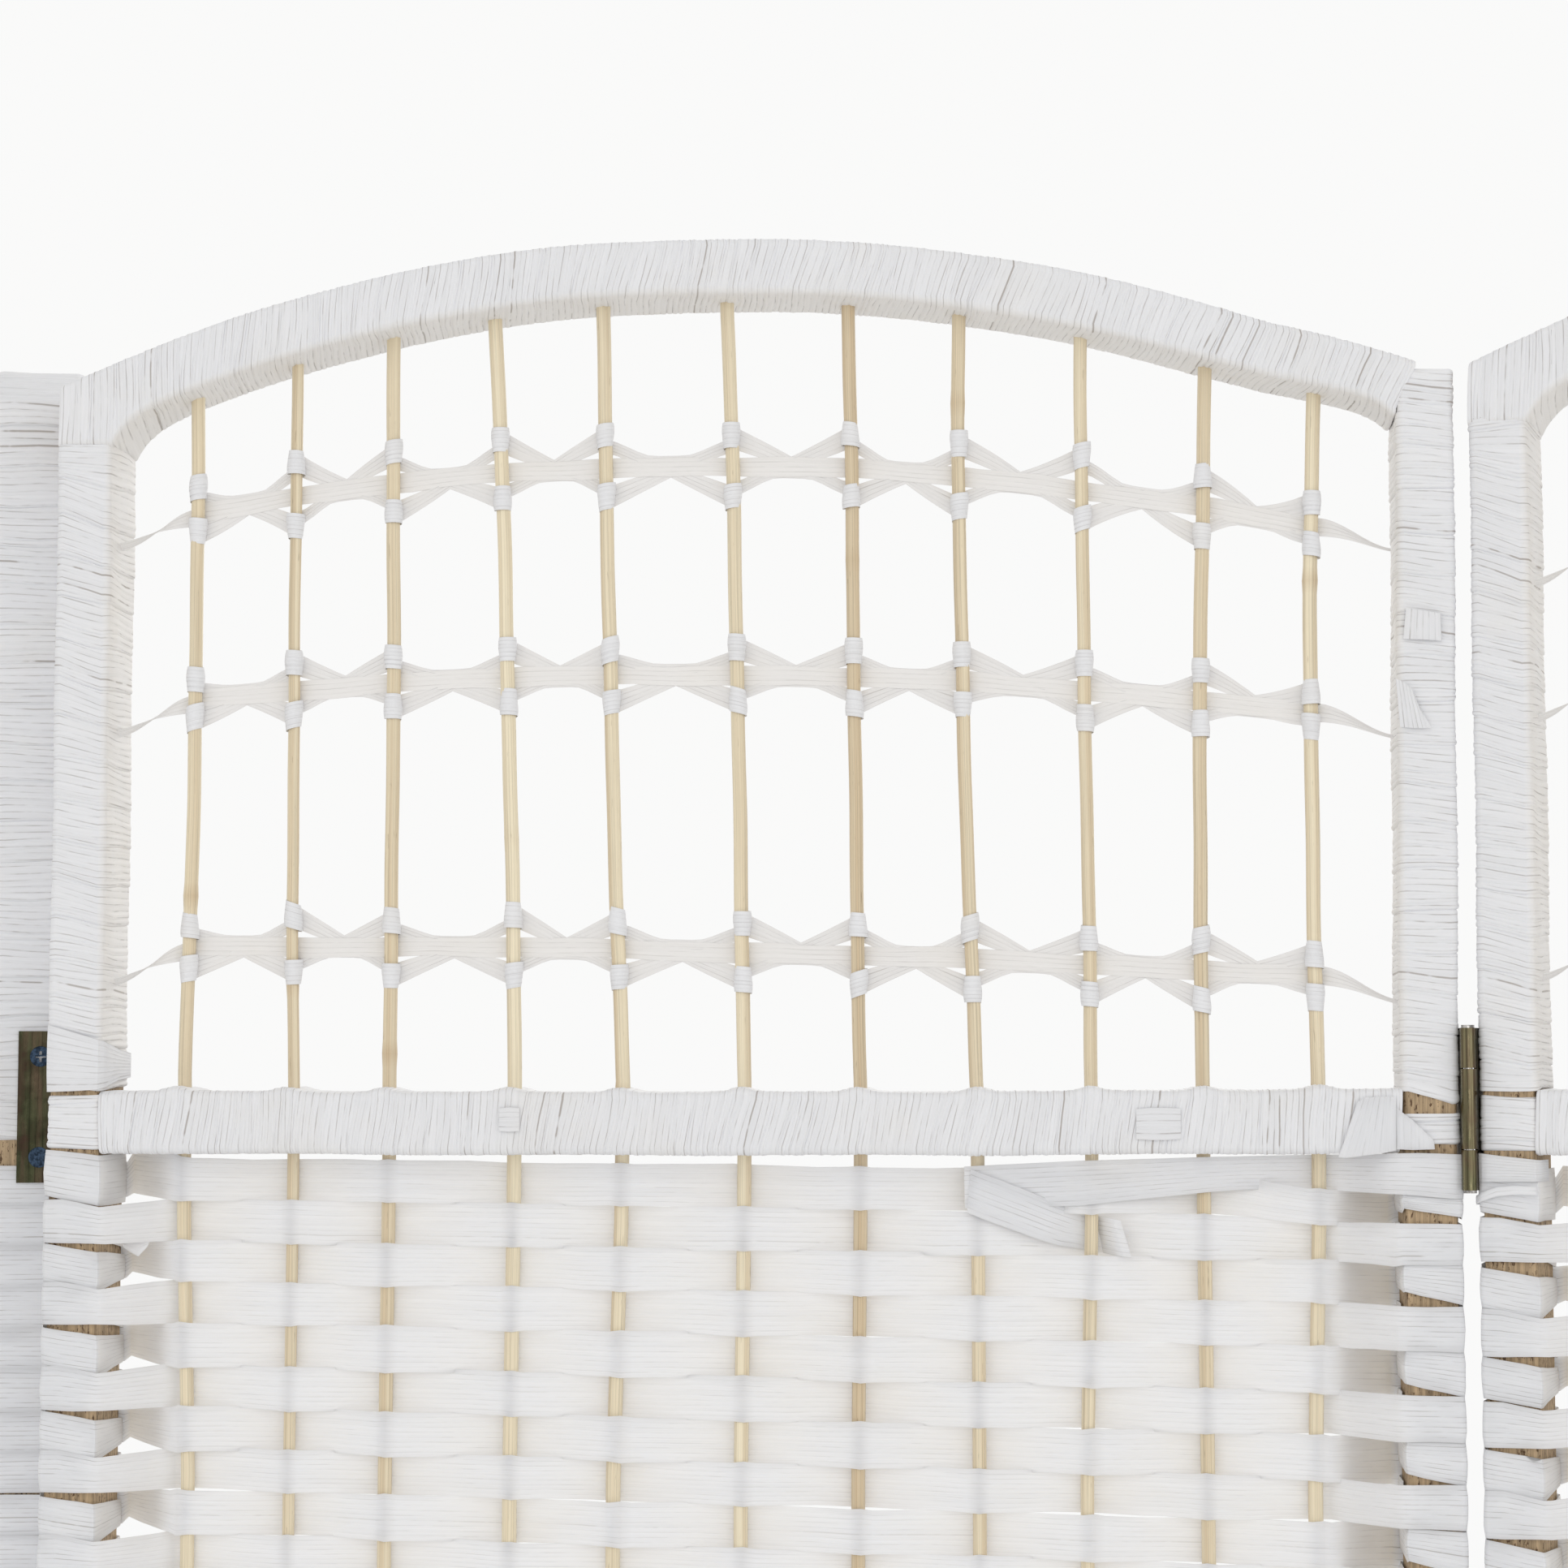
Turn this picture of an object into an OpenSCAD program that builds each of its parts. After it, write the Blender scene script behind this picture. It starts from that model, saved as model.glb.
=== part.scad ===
// Folding screen of four panels: wooden frames wound with paper strand, bamboo rods, paper bands and ribbons.
// The root panel is the third from the left. It stands along X with its front facing -Y.

/* [Panel] */
// Width of one panel between its wound end faces
panel_w = 400; // [340:5:460]
// Clear height from the floor to the bottom rail
foot_h = 91; // [50:1:200]
// Height of the woven part between the bottom and mid rails
weave_h = 1331; // [900:1:1500]
// Height of the open lattice from the mid rail to the underside of the arch's crown
lattice_h = 224.6; // [210:0.2:320]
// Rise of the arch from a panel's end face to its crown
arch_rise = 41; // [25:1:60]

/* [Frame] */
// Width of a bare post across the panel
post_w = 14.5; // [13.5:0.5:20]
// Depth of the bare posts and rails, front to back
frame_d = 26; // [20:0.5:30]
// Height of each bare rail's section
rail_h = 16; // [13:0.5:20]
// Thickness of the paper wound round the frame
wrap_t = 0.9; // [0.6:0.1:1.5]
// Slack between the winding and the wood
wrap_fit = 0.1; // [0.05:0.05:0.2]

/* [Bamboo rods] */
// Number of rods in a panel
rod_count = 11; // [8:1:12]
// Diameter of a rod
rod_d = 4; // [3.5:0.1:6]
// Distance from a panel's end to its outermost rods' even place
rod_edge = 39; // [34:1:48]
// How deep a rod sits in the top and bottom rails
rod_seat = 8; // [4:0.5:11]
// Radial slack of a rod in its hole
rod_fit = 0.1; // [0.05:0.05:0.2]

/* [Weave] */
// Thickness of one woven paper band
band_t = 0.6; // [0.4:0.1:0.9]
// Gap between the weave and the rails above and below it
weave_gap = 3.8; // [0.5:0.1:5]

/* [Lattice ribbons] */
// Height of the lowest row's centre above the mid rail, in the middle of the panel
low_row_up = 39; // [20:1:60]
// Height of the middle row's centre above the mid rail, in the middle of the panel
mid_row_up = 118; // [90:1:140]
// Height of the top row's centre above the mid rail, in the middle of the panel
top_row_up = 179; // [160:1:180]
// How far the lowest row falls from the middle of the panel to its outermost rods
low_row_fall = 3; // [0:0.5:10]
// How far the middle row falls from the middle of the panel to its outermost rods
mid_row_fall = 9; // [0:0.5:15]
// How far the top row falls from the middle of the panel to its outermost rods
top_row_fall = 16; // [10:0.5:20]
// Distance between the centres of the two knots on one rod
knot_gap = 16.5; // [12:0.5:20]
// Height of one knot round a rod
knot_h = 7.5; // [5:0.5:9]
// Thickness of the ribbon round a rod
knot_t = 0.9; // [0.6:0.1:1.2]
// Height of the straight ribbon along a row's centre
core_ribbon_h = 4.4; // [3:0.2:6]
// Height of a tying ribbon where it is drawn in, midway between two rods
drawn_h = 3.2; // [2:0.2:5]
// Thickness of the ribbons between rods
ribbon_t = 0.6; // [0.4:0.1:0.9]

/* [Hinges] */
// Gap between the end faces of two panels that stand in line
panel_gap = 4.2; // [3.6:0.2:6]
// Height of a hinge
hinge_h = 44.5; // [36:0.5:52]
// Height of the upper hinges' centre above the mid rail's centre
upper_hinge_up = 3; // [0:1:40]
// Height of the lower hinges' centre above the bottom rail's centre
lower_hinge_up = 52; // [40:1:200]
// Width of a leaf from the pin's axis to its free edge
leaf_w = 15; // [13:0.5:18]
// Thickness of a leaf
leaf_t = 1; // [0.8:0.1:1.3]
// Diameter of the pin
pin_d = 2.4; // [2:0.1:2.8]
// Radial slack of the pin in its knuckles
pin_fit = 0.05; // [0.02:0.01:0.1]
// Diameter of a pin's riveted ends
pin_end_d = 3.6; // [3:0.1:4]
// Thickness of a pin's riveted ends
pin_end_t = 0.8; // [0.5:0.1:1.2]
// Slack between neighbouring knuckles along the pin
knuckle_fit = 0.3; // [0.2:0.05:0.5]

/* [Screws and nails] */
// Diameter of a hinge screw
screw_d = 3; // [2.5:0.1:3.5]
// Diameter of a hinge screw's head
screw_head_d = 6; // [5.4:0.1:6.6]
// Length of a hinge screw under the leaf
screw_l = 12; // [8:0.5:14]
// Height from a hinge's centre to each of its screws
screw_rise = 14.8; // [10:0.1:16]
// Diameter of a frame nail
nail_d = 1.8; // [1.4:0.1:2.2]
// Length of a frame nail
nail_l = 32; // [28:0.5:33]
// Diameter of a frame nail's head
nail_head_d = 3.6; // [3:0.1:4]
// Thickness of a frame nail's head
nail_head_t = 1; // [0.6:0.1:1.2]
// Radial slack of screws and nails in their holes
fastener_fit = 0.05; // [0.02:0.01:0.1]

/* [Folds] */
// Angle between panels 1 and 2, from standing in line
fold_12 = 75; // [0:1:180]
// Angle between panels 2 and 3, from standing in line
fold_23 = 75; // [0:1:180]
// Angle between panels 3 and 4, from standing in line
fold_34 = 16; // [0:1:180]

/* [Hidden] */
$fn = 48;
panel_count = 4;
panel_pieces = ["left_post", "right_post", "top_rail", "mid_rail", "bottom_rail", "rods", "weave",
    "lattice_ribbons", "post_wraps", "rail_wraps", "frame_nails"];
hinge_pieces = ["left_leaves", "right_leaves", "pins", "left_screws", "right_screws"];

wood = [0.80, 0.66, 0.46];
bamboo = [0.83, 0.74, 0.55];
paper = [0.93, 0.93, 0.91];
shaded_paper = [0.88, 0.87, 0.83];
zinc = [0.72, 0.70, 0.58];
steel = [0.66, 0.68, 0.70];

// Cuts run this far past a face
past = 1;
// Leaves a blind hole deeper than what sits in it
seat_spare = 0.3;

half_w = panel_w / 2;
panel_d = frame_d + 2 * wrap_t;
post_in = wrap_t + post_w;
wound_post_in = post_in + wrap_fit + wrap_t;
wound_rail_h = rail_h + 2 * wrap_t;
bottom_rail_z = foot_h + wound_rail_h / 2;
mid_rail_z = bottom_rail_z + wound_rail_h + weave_h;
lattice_z = mid_rail_z + wound_rail_h / 2;
crown_h = lattice_z + lattice_h + wound_rail_h;
arch_r = (half_w * half_w + arch_rise * arch_rise) / (2 * arch_rise);
arch_centre_z = crown_h - arch_r;
core_top_r = arch_r - wrap_t;
core_low_r = core_top_r - rail_h;
wound_low_r = core_low_r - wrap_t;
post_h = arch_z(wrap_t + post_w / 2, arch_r);

rod_r = rod_d / 2;
rod_hole_r = rod_r + rod_fit;
rod_pitch = (panel_w - 2 * rod_edge) / (rod_count - 1);
// Rods set by hand stray a little from even places, as shares of their pitch
rod_drift = [-0.06, -0.06, -0.19, -0.06, -0.09, 0, 0.03, 0.06, 0.06, 0.03, 0.03];
rod_low_z = bottom_rail_z + rail_h / 2 - rod_seat;

row_up = [low_row_up, mid_row_up, top_row_up];
row_fall = [low_row_fall, mid_row_fall, top_row_fall];

weave_low_z = bottom_rail_z + wound_rail_h / 2 + weave_gap;
weave_top_z = mid_rail_z - wound_rail_h / 2 - weave_gap;
weave_peak = rod_hole_r + band_t;

knot_r = rod_hole_r + knot_t;
ribbon_y = rod_hole_r + rod_fit;

knuckle_r = panel_gap / 2;
pivot_y = panel_d / 2 + knuckle_r + wrap_fit;
pin_hole_r = pin_d / 2 + pin_fit;
screw_y = (panel_d / 2 + pivot_y - leaf_w) / 2;
screw_sink = (screw_head_d - screw_d) / 2;
head_proud = 0.3;
cross_w = 0.8;
cross_l = 3.2;
nail_y = frame_d / 4;
front = -1;
back = 1;
// Which side of the screen each hinge line's knuckles stand on
hinge_side = [front, back, front];
hinge_heights = [bottom_rail_z + lower_hinge_up, mid_rail_z + upper_hinge_up];

headings = [fold_12 - fold_23, -fold_23, 0, -fold_34];
origin_3 = [0, 0];
origin_2 = origin_3 + turned(headings[2], pivot_left(back)) - turned(headings[1], pivot_right(back));
origin_1 = origin_2 + turned(headings[1], pivot_left(front)) - turned(headings[0], pivot_right(front));
origin_4 = origin_3 + turned(headings[2], pivot_right(front)) - turned(headings[3], pivot_left(front));
origins = [origin_1, origin_2, origin_3, origin_4];
panel_corners = [for (x = [0, panel_w], y = [-panel_d / 2, panel_d / 2]) [x, y]];
plan_points = [for (p = [0 : panel_count - 1], c = panel_corners) origins[p] + turned(headings[p], c)];
plan_x = [for (c = plan_points) c.x];
plan_y = [for (c = plan_points) c.y];
plan_centre = [(min(plan_x) + max(plan_x)) / 2, (min(plan_y) + max(plan_y)) / 2];

function panel_node(p, piece) = str("panel_", p, "_", piece);
function hinge_node(h, piece) = str("hinge_", h, h + 1, "_", piece);
function turned(angle, v) = [v.x * cos(angle) - v.y * sin(angle), v.x * sin(angle) + v.y * cos(angle)];
function pivot_left(side) = [-panel_gap / 2, side * pivot_y];
function pivot_right(side) = [panel_w + panel_gap / 2, side * pivot_y];
// Height of a circle of radius r about the arch's centre, at a place along the panel
function arch_z(x, r) = arch_centre_z + sqrt(r * r - (x - half_w) * (x - half_w));
function rod_x(i) = rod_edge + rod_pitch * (i + rod_drift[i % len(rod_drift)]);
function rod_top_z(i) = arch_z(rod_x(i), core_low_r) + rod_seat;
// Height of a lattice row's centre line
function row_centre(row, x) = lattice_z + row_up[row] - row_fall[row] * pow((x - half_w) / (half_w - rod_edge), 2);

// A box from one corner to the opposite one
module span_box(low, high) {
    translate(low) cube(high - low);
}

// Everything between two radii about the arch's centre, from x_low to x_high
module arch_band(top_r, low_r, x_low, x_high, depth) {
    translate([half_w, depth / 2, arch_centre_z]) rotate([90, 0, 0]) linear_extrude(depth) intersection() {
        difference() {
            circle(top_r, $fn = 180);
            circle(low_r, $fn = 180);
        }
        translate([x_low - half_w, 0]) square([x_high - x_low, arch_r + past]);
    }
}

// Upright holes or rods at every rod's place
module at_rods() {
    for (i = [0 : rod_count - 1]) translate([rod_x(i), 0, 0]) children();
}

// One frame nail, driven along +X from the left end or along -X from the right end
module nail(slack) {
    translate([wrap_t, 0, 0]) rotate([0, 90, 0]) {
        cylinder(h = nail_l + slack, d = nail_d + 2 * slack);
        cylinder(h = nail_head_t + slack, d = nail_head_d + 2 * slack);
    }
}

// A nail for each rail, at the left end
module left_nails(slack = 0) {
    arch_nail_z = arch_z(post_in, (core_top_r + core_low_r) / 2);
    for (z = [bottom_rail_z, mid_rail_z, arch_nail_z]) translate([0, nail_y, z]) nail(slack);
}

module at_right_end() {
    translate([panel_w, 0, 0]) mirror([1, 0, 0]) children();
}

module nails(slack = 0) {
    left_nails(slack);
    at_right_end() left_nails(slack);
}

// The screws of one leaf, driven along +X from an end face at x = 0
module leaf_screws(side, slack = 0) {
    for (hinge_z = hinge_heights, rise = [-screw_rise, screw_rise])
        translate([-leaf_t, side * screw_y, hinge_z + rise]) rotate([0, 90, 0]) children();
}

// What the screws of one leaf take out of the leaf, the winding and the post
module screw_holes(side) {
    hole_d = screw_d + 2 * fastener_fit;
    sink_d = screw_head_d + 2 * fastener_fit;
    leaf_screws(side) {
        cylinder(h = leaf_t + screw_l + seat_spare, d = hole_d);
        translate([0, 0, fastener_fit]) cylinder(h = screw_sink, d1 = sink_d, d2 = hole_d);
        translate([0, 0, -past]) cylinder(h = past + fastener_fit, d = sink_d);
    }
}

module screw() {
    difference() {
        union() {
            cylinder(h = leaf_t + screw_l, d = screw_d);
            cylinder(h = screw_sink, d1 = screw_head_d, d2 = screw_d);
            translate([0, 0, -head_proud]) cylinder(h = head_proud, d = screw_head_d);
        }
        for (angle = [0, 90]) rotate(angle)
            translate([-cross_l / 2, -cross_w / 2, -head_proud - past]) cube([cross_l, cross_w, head_proud + 2 * past]);
    }
}

module left_screw_holes(p) {
    if (p > 1) screw_holes(hinge_side[p - 2]);
}

module right_screw_holes(p) {
    if (p < panel_count) at_right_end() screw_holes(hinge_side[p - 1]);
}

module left_post_blank() {
    span_box([wrap_t, -frame_d / 2, 0], [post_in, frame_d / 2, post_h]);
}

module left_post(p) {
    color(wood) difference() {
        left_post_blank();
        left_nails(fastener_fit);
        left_screw_holes(p);
    }
}

module right_post(p) {
    color(wood) difference() {
        at_right_end() left_post_blank();
        at_right_end() left_nails(fastener_fit);
        right_screw_holes(p);
    }
}

module top_rail() {
    color(wood) difference() {
        arch_band(core_top_r, core_low_r, post_in, panel_w - post_in, frame_d);
        for (i = [0 : rod_count - 1])
            translate([rod_x(i), 0, rod_top_z(i) + seat_spare - 2 * rail_h]) cylinder(h = 2 * rail_h, r = rod_hole_r);
        nails(fastener_fit);
    }
}

module straight_rail(z) {
    span_box([post_in, -frame_d / 2, z - rail_h / 2], [panel_w - post_in, frame_d / 2, z + rail_h / 2]);
}

module mid_rail() {
    color(wood) difference() {
        straight_rail(mid_rail_z);
        at_rods() translate([0, 0, mid_rail_z - rail_h]) cylinder(h = 2 * rail_h, r = rod_hole_r);
        nails(fastener_fit);
    }
}

module bottom_rail() {
    color(wood) difference() {
        straight_rail(bottom_rail_z);
        at_rods() translate([0, 0, rod_low_z - seat_spare]) cylinder(h = 2 * rail_h, r = rod_hole_r);
        nails(fastener_fit);
    }
}

module rods() {
    color(bamboo) for (i = [0 : rod_count - 1])
        translate([rod_x(i), 0, rod_low_z]) cylinder(h = rod_top_z(i) - rod_low_z, r = rod_r);
}

// Outline of the bands' reach seen from above: full round each rod, thin where bands cross between two rods
module weave_outline() {
    low_x = wound_post_in + wrap_fit;
    high_x = panel_w - low_x;
    between = [for (i = [0 : rod_count - 2]) (rod_x(i) + rod_x(i + 1)) / 2];
    edge = concat([[low_x, band_t]],
        [for (i = [0 : rod_count - 1]) each concat(
            [[rod_x(i) - rod_r, weave_peak], [rod_x(i) + rod_r, weave_peak]],
            i < rod_count - 1 ? [[between[i], band_t]] : [])],
        [[high_x, band_t]]);
    last = len(edge) - 1;
    polygon(concat(edge, [for (k = [0 : last]) [edge[last - k].x, -edge[last - k].y]]));
}

module weave() {
    color(paper) translate([0, 0, weave_low_z]) linear_extrude(weave_top_z - weave_low_z) difference() {
        weave_outline();
        for (i = [0 : rod_count - 1]) translate([rod_x(i), 0]) circle(r = rod_hole_r);
    }
}

// One tying ribbon from a rod's knot to the middle of a span, up = 1 above the row's centre and -1 below it
module tie(row, x_rod, x_mid, up) {
    knot_z = row_centre(row, x_rod) + up * knot_gap / 2;
    mid_z = row_centre(row, x_mid);
    polygon([[x_rod, knot_z + up * knot_h / 2], [x_mid, mid_z + up * drawn_h],
        [x_mid, mid_z], [x_rod, knot_z - up * knot_h / 2]]);
}

// The straight ribbon between two places along a row
module core_ribbon(row, x_low, x_high) {
    half_h = core_ribbon_h / 2;
    polygon([[x_low, row_centre(row, x_low) - half_h], [x_high, row_centre(row, x_high) - half_h],
        [x_high, row_centre(row, x_high) + half_h], [x_low, row_centre(row, x_low) + half_h]]);
}

module row_outline(row) {
    low_x = wound_post_in + wrap_fit;
    stops = concat([low_x], [for (i = [0 : rod_count - 1]) rod_x(i)], [panel_w - low_x]);
    for (k = [0 : rod_count]) core_ribbon(row, stops[k], stops[k + 1]);
    for (i = [0 : rod_count - 2], up = [-1, 1]) {
        x_mid = (rod_x(i) + rod_x(i + 1)) / 2;
        tie(row, rod_x(i), x_mid, up);
        tie(row, rod_x(i + 1), x_mid, up);
    }
}

module lattice_row(row) {
    difference() {
        union() {
            translate([0, ribbon_y + ribbon_t, 0]) rotate([90, 0, 0]) linear_extrude(ribbon_t) row_outline(row);
            for (i = [0 : rod_count - 1], up = [-1, 1])
                translate([rod_x(i), 0, row_centre(row, rod_x(i)) + (up * knot_gap - knot_h) / 2])
                    cylinder(h = knot_h, r = knot_r);
        }
        for (i = [0 : rod_count - 1])
            translate([rod_x(i), 0, row_centre(row, rod_x(i)) - knot_gap])
                cylinder(h = 2 * knot_gap, r = rod_hole_r);
    }
}

module lattice_ribbons() {
    color(shaded_paper) for (row = [0 : len(row_up) - 1]) lattice_row(row);
}

// The winding round the left post, open where the rails enter it
module left_post_wrap(screw_side) {
    slack = wrap_t - wrap_fit;
    difference() {
        span_box([0, -panel_d / 2, foot_h], [wound_post_in, panel_d / 2, post_h]);
        span_box([slack, slack - panel_d / 2, foot_h - past],
            [post_in + wrap_fit, panel_d / 2 - slack, post_h + past]);
        for (z = [bottom_rail_z, mid_rail_z])
            span_box([post_in, slack - panel_d / 2, z - rail_h / 2 - wrap_fit],
                [wound_post_in + past, panel_d / 2 - slack, z + rail_h / 2 + wrap_fit]);
        arch_band(core_top_r + wrap_fit, core_low_r - wrap_fit, post_in, wound_post_in + past,
            panel_d - 2 * slack);
        if (screw_side != 0) screw_holes(screw_side);
    }
}

module post_wraps(p) {
    color(paper) {
        left_post_wrap(p > 1 ? hinge_side[p - 2] : 0);
        at_right_end() left_post_wrap(p < panel_count ? hinge_side[p - 1] : 0);
    }
}

// The winding round a straight rail at height z, with rod holes from hole_low_z upwards
module straight_rail_wrap(z, hole_low_z) {
    low_x = wound_post_in + wrap_fit;
    slack = wrap_t - wrap_fit;
    inner = wound_rail_h / 2 - slack;
    difference() {
        span_box([low_x, -panel_d / 2, z - wound_rail_h / 2], [panel_w - low_x, panel_d / 2, z + wound_rail_h / 2]);
        span_box([low_x - past, slack - panel_d / 2, z - inner],
            [panel_w - low_x + past, panel_d / 2 - slack, z + inner]);
        at_rods() translate([0, 0, hole_low_z]) cylinder(h = 2 * wound_rail_h, r = rod_hole_r);
    }
}

module arch_wrap() {
    low_x = wound_post_in + wrap_fit;
    slack = wrap_t - wrap_fit;
    difference() {
        arch_band(arch_r, wound_low_r, low_x, panel_w - low_x, panel_d);
        arch_band(arch_r - slack, wound_low_r + slack, low_x - past, panel_w - low_x + past, panel_d - 2 * slack);
        for (i = [0 : rod_count - 1])
            translate([rod_x(i), 0, rod_top_z(i) - 2 * rail_h]) cylinder(h = 2 * rail_h, r = rod_hole_r);
    }
}

module rail_wraps() {
    color(paper) {
        arch_wrap();
        straight_rail_wrap(mid_rail_z, mid_rail_z - wound_rail_h);
        straight_rail_wrap(bottom_rail_z, bottom_rail_z);
    }
}

module frame_nails() {
    color(steel) nails();
}

// Both hinges' leaves on an end face at x = 0, with the pin's axis at x = -panel_gap / 2.
// The outer leaf has the knuckles at top and bottom, the inner leaf has the one in the middle.
module leaves(side, outer) {
    half_h = hinge_h / 2;
    quarter = hinge_h / 4;
    ends = [[-half_h, -quarter], [quarter, half_h]];
    middle = [[-quarter, quarter]];
    difference() {
        for (hinge_z = hinge_heights) translate([0, side * pivot_y, hinge_z]) difference() {
            union() {
                span_box([-leaf_t, side > 0 ? -leaf_w : 0, -half_h], [0, side > 0 ? 0 : leaf_w, half_h]);
                for (part = outer ? ends : middle) knuckle(part, knuckle_r, 0);
            }
            for (part = outer ? middle : ends) knuckle(part, knuckle_r + knuckle_fit, knuckle_fit / 2);
            knuckle([-half_h, half_h], pin_hole_r, past);
        }
        screw_holes(side);
    }
}

// An upright cylinder about the pin's axis, between two heights and longer by extra at each end
module knuckle(heights, r, extra) {
    translate([-panel_gap / 2, 0, heights[0] - extra]) cylinder(h = heights[1] - heights[0] + 2 * extra, r = r);
}

module left_leaves(h) {
    color(zinc) at_right_end() leaves(hinge_side[h - 1], true);
}

module right_leaves(h) {
    color(zinc) leaves(hinge_side[h - 1], false);
}

module pins(h) {
    color(steel) at_right_end() for (hinge_z = hinge_heights)
        translate([0, hinge_side[h - 1] * pivot_y, hinge_z]) {
            knuckle([-hinge_h / 2, hinge_h / 2], pin_d / 2, 0);
            for (end = [[-hinge_h / 2 - pin_end_t, -hinge_h / 2], [hinge_h / 2, hinge_h / 2 + pin_end_t]])
                knuckle(end, pin_end_d / 2, 0);
        }
}

module left_screws(h) {
    color(steel) at_right_end() leaf_screws(hinge_side[h - 1]) screw();
}

module right_screws(h) {
    color(steel) leaf_screws(hinge_side[h - 1]) screw();
}

// A panel's own frame: x runs from 0 to panel_w between its end faces, y = 0 is the middle of its depth
module place(p) {
    translate([origins[p - 1].x - plan_centre.x, origins[p - 1].y - plan_centre.y, 0])
        rotate([0, 0, headings[p - 1]]) children();
}

for (p = [1 : panel_count]) {
    place(p) left_post(p);
    place(p) right_post(p);
    place(p) top_rail();
    place(p) mid_rail();
    place(p) bottom_rail();
    place(p) rods();
    place(p) weave();
    place(p) lattice_ribbons();
    place(p) post_wraps(p);
    place(p) rail_wraps();
    place(p) frame_nails();
}
for (h = [1 : panel_count - 1]) {
    place(h) left_leaves(h);
    place(h + 1) right_leaves(h);
    place(h) pins(h);
    place(h) left_screws(h);
    place(h + 1) right_screws(h);
}
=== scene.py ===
"""Looks of a folding screen: wound paper strand, woven bands, tied ribbons, bamboo rods and hinges."""
import math

import bmesh
import bpy
import numpy as np
from bpy.props import FloatProperty, FloatVectorProperty, IntProperty, PointerProperty
from mathutils import Euler, Matrix, Vector


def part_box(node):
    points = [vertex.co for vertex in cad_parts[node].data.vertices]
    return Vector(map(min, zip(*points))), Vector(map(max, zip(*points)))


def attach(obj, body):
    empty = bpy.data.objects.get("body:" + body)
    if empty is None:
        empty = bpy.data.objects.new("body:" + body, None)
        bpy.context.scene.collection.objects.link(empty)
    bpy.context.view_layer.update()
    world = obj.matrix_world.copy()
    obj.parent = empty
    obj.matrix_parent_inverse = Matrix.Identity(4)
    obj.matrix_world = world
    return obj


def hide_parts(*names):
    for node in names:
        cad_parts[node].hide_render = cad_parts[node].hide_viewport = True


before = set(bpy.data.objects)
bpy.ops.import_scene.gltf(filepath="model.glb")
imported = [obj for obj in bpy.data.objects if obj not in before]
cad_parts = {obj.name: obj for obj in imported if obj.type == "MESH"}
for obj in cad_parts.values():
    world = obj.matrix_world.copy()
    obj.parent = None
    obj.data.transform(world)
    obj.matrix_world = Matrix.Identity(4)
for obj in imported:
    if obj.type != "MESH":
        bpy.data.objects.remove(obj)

bl_info = {
    "name": "Folding screen looks",
    "version": (1, 0, 0),
    "blender": (4, 5, 0),
    "location": "3D View > Sidebar > Screen",
    "description": "Dresses the packed frame of a four-panel folding screen",
    "category": "Object",
}

MM = 0.001
FULL_TURN = 2 * math.pi
MERGE = 1e-6
SHARP = math.radians(50)
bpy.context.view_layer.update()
PANELS = (1, 2, 3, 4)

# The third panel stands along the frame's own axes, so its nodes give every panel's sizes
POST_LOW, POST_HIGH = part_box("panel_3_left_post")
RIGHT_POST_LOW, RIGHT_POST_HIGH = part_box("panel_3_right_post")
WRAP_LOW, WRAP_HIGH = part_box("panel_3_post_wraps")
MID_LOW, MID_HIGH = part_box("panel_3_mid_rail")
FOOT_LOW, FOOT_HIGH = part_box("panel_3_bottom_rail")
WEAVE_LOW, WEAVE_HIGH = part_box("panel_3_weave")
CROWN_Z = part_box("panel_3_rail_wraps")[1].z
ROD_LOW, ROD_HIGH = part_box("panel_3_rods")

PANEL_W = WRAP_HIGH.x - WRAP_LOW.x
PANEL_D = WRAP_HIGH.y - WRAP_LOW.y
HALF_D = PANEL_D / 2
WRAP_T = POST_LOW.x - WRAP_LOW.x
POST_D = POST_HIGH.y - POST_LOW.y
POST_H = POST_HIGH.z
LEFT_IN = POST_HIGH.x - WRAP_LOW.x + WRAP_T
RIGHT_IN = RIGHT_POST_LOW.x - WRAP_LOW.x - WRAP_T
MID_TOP = MID_HIGH.z + WRAP_T
MID_BOTTOM = MID_LOW.z - WRAP_T
RAIL_H = MID_TOP - MID_BOTTOM
FOOT_RAIL_TOP = FOOT_HIGH.z + WRAP_T
FOOT_RAIL_BOTTOM = FOOT_LOW.z - WRAP_T
HALF_W = PANEL_W / 2
POST_CENTRE = (POST_LOW.x + POST_HIGH.x) / 2 - WRAP_LOW.x

# The arch's radius follows from its crown and the height at which it meets a post's middle
ARCH_CHORD = HALF_W - POST_CENTRE
ARCH_R = (ARCH_CHORD ** 2 + (CROWN_Z - POST_H) ** 2) / (2 * (CROWN_Z - POST_H))
ARCH_CENTRE_Z = CROWN_Z - ARCH_R


def rod_places():
    """Places of the rods along a panel, from where the third panel's rods stand."""
    xs = sorted({round(v.co.x - WRAP_LOW.x, 6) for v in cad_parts["panel_3_rods"].data.vertices})
    groups = [[xs[0]]]
    for x in xs[1:]:
        if x - groups[-1][-1] > POST_D / 2:
            groups.append([])
        groups[-1].append(x)
    return np.array([(g[0] + g[-1]) / 2 for g in groups])


ROD_X = rod_places()
RODS = len(ROD_X)
ROD_R = (ROD_HIGH.y - ROD_LOW.y) / 2

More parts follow.
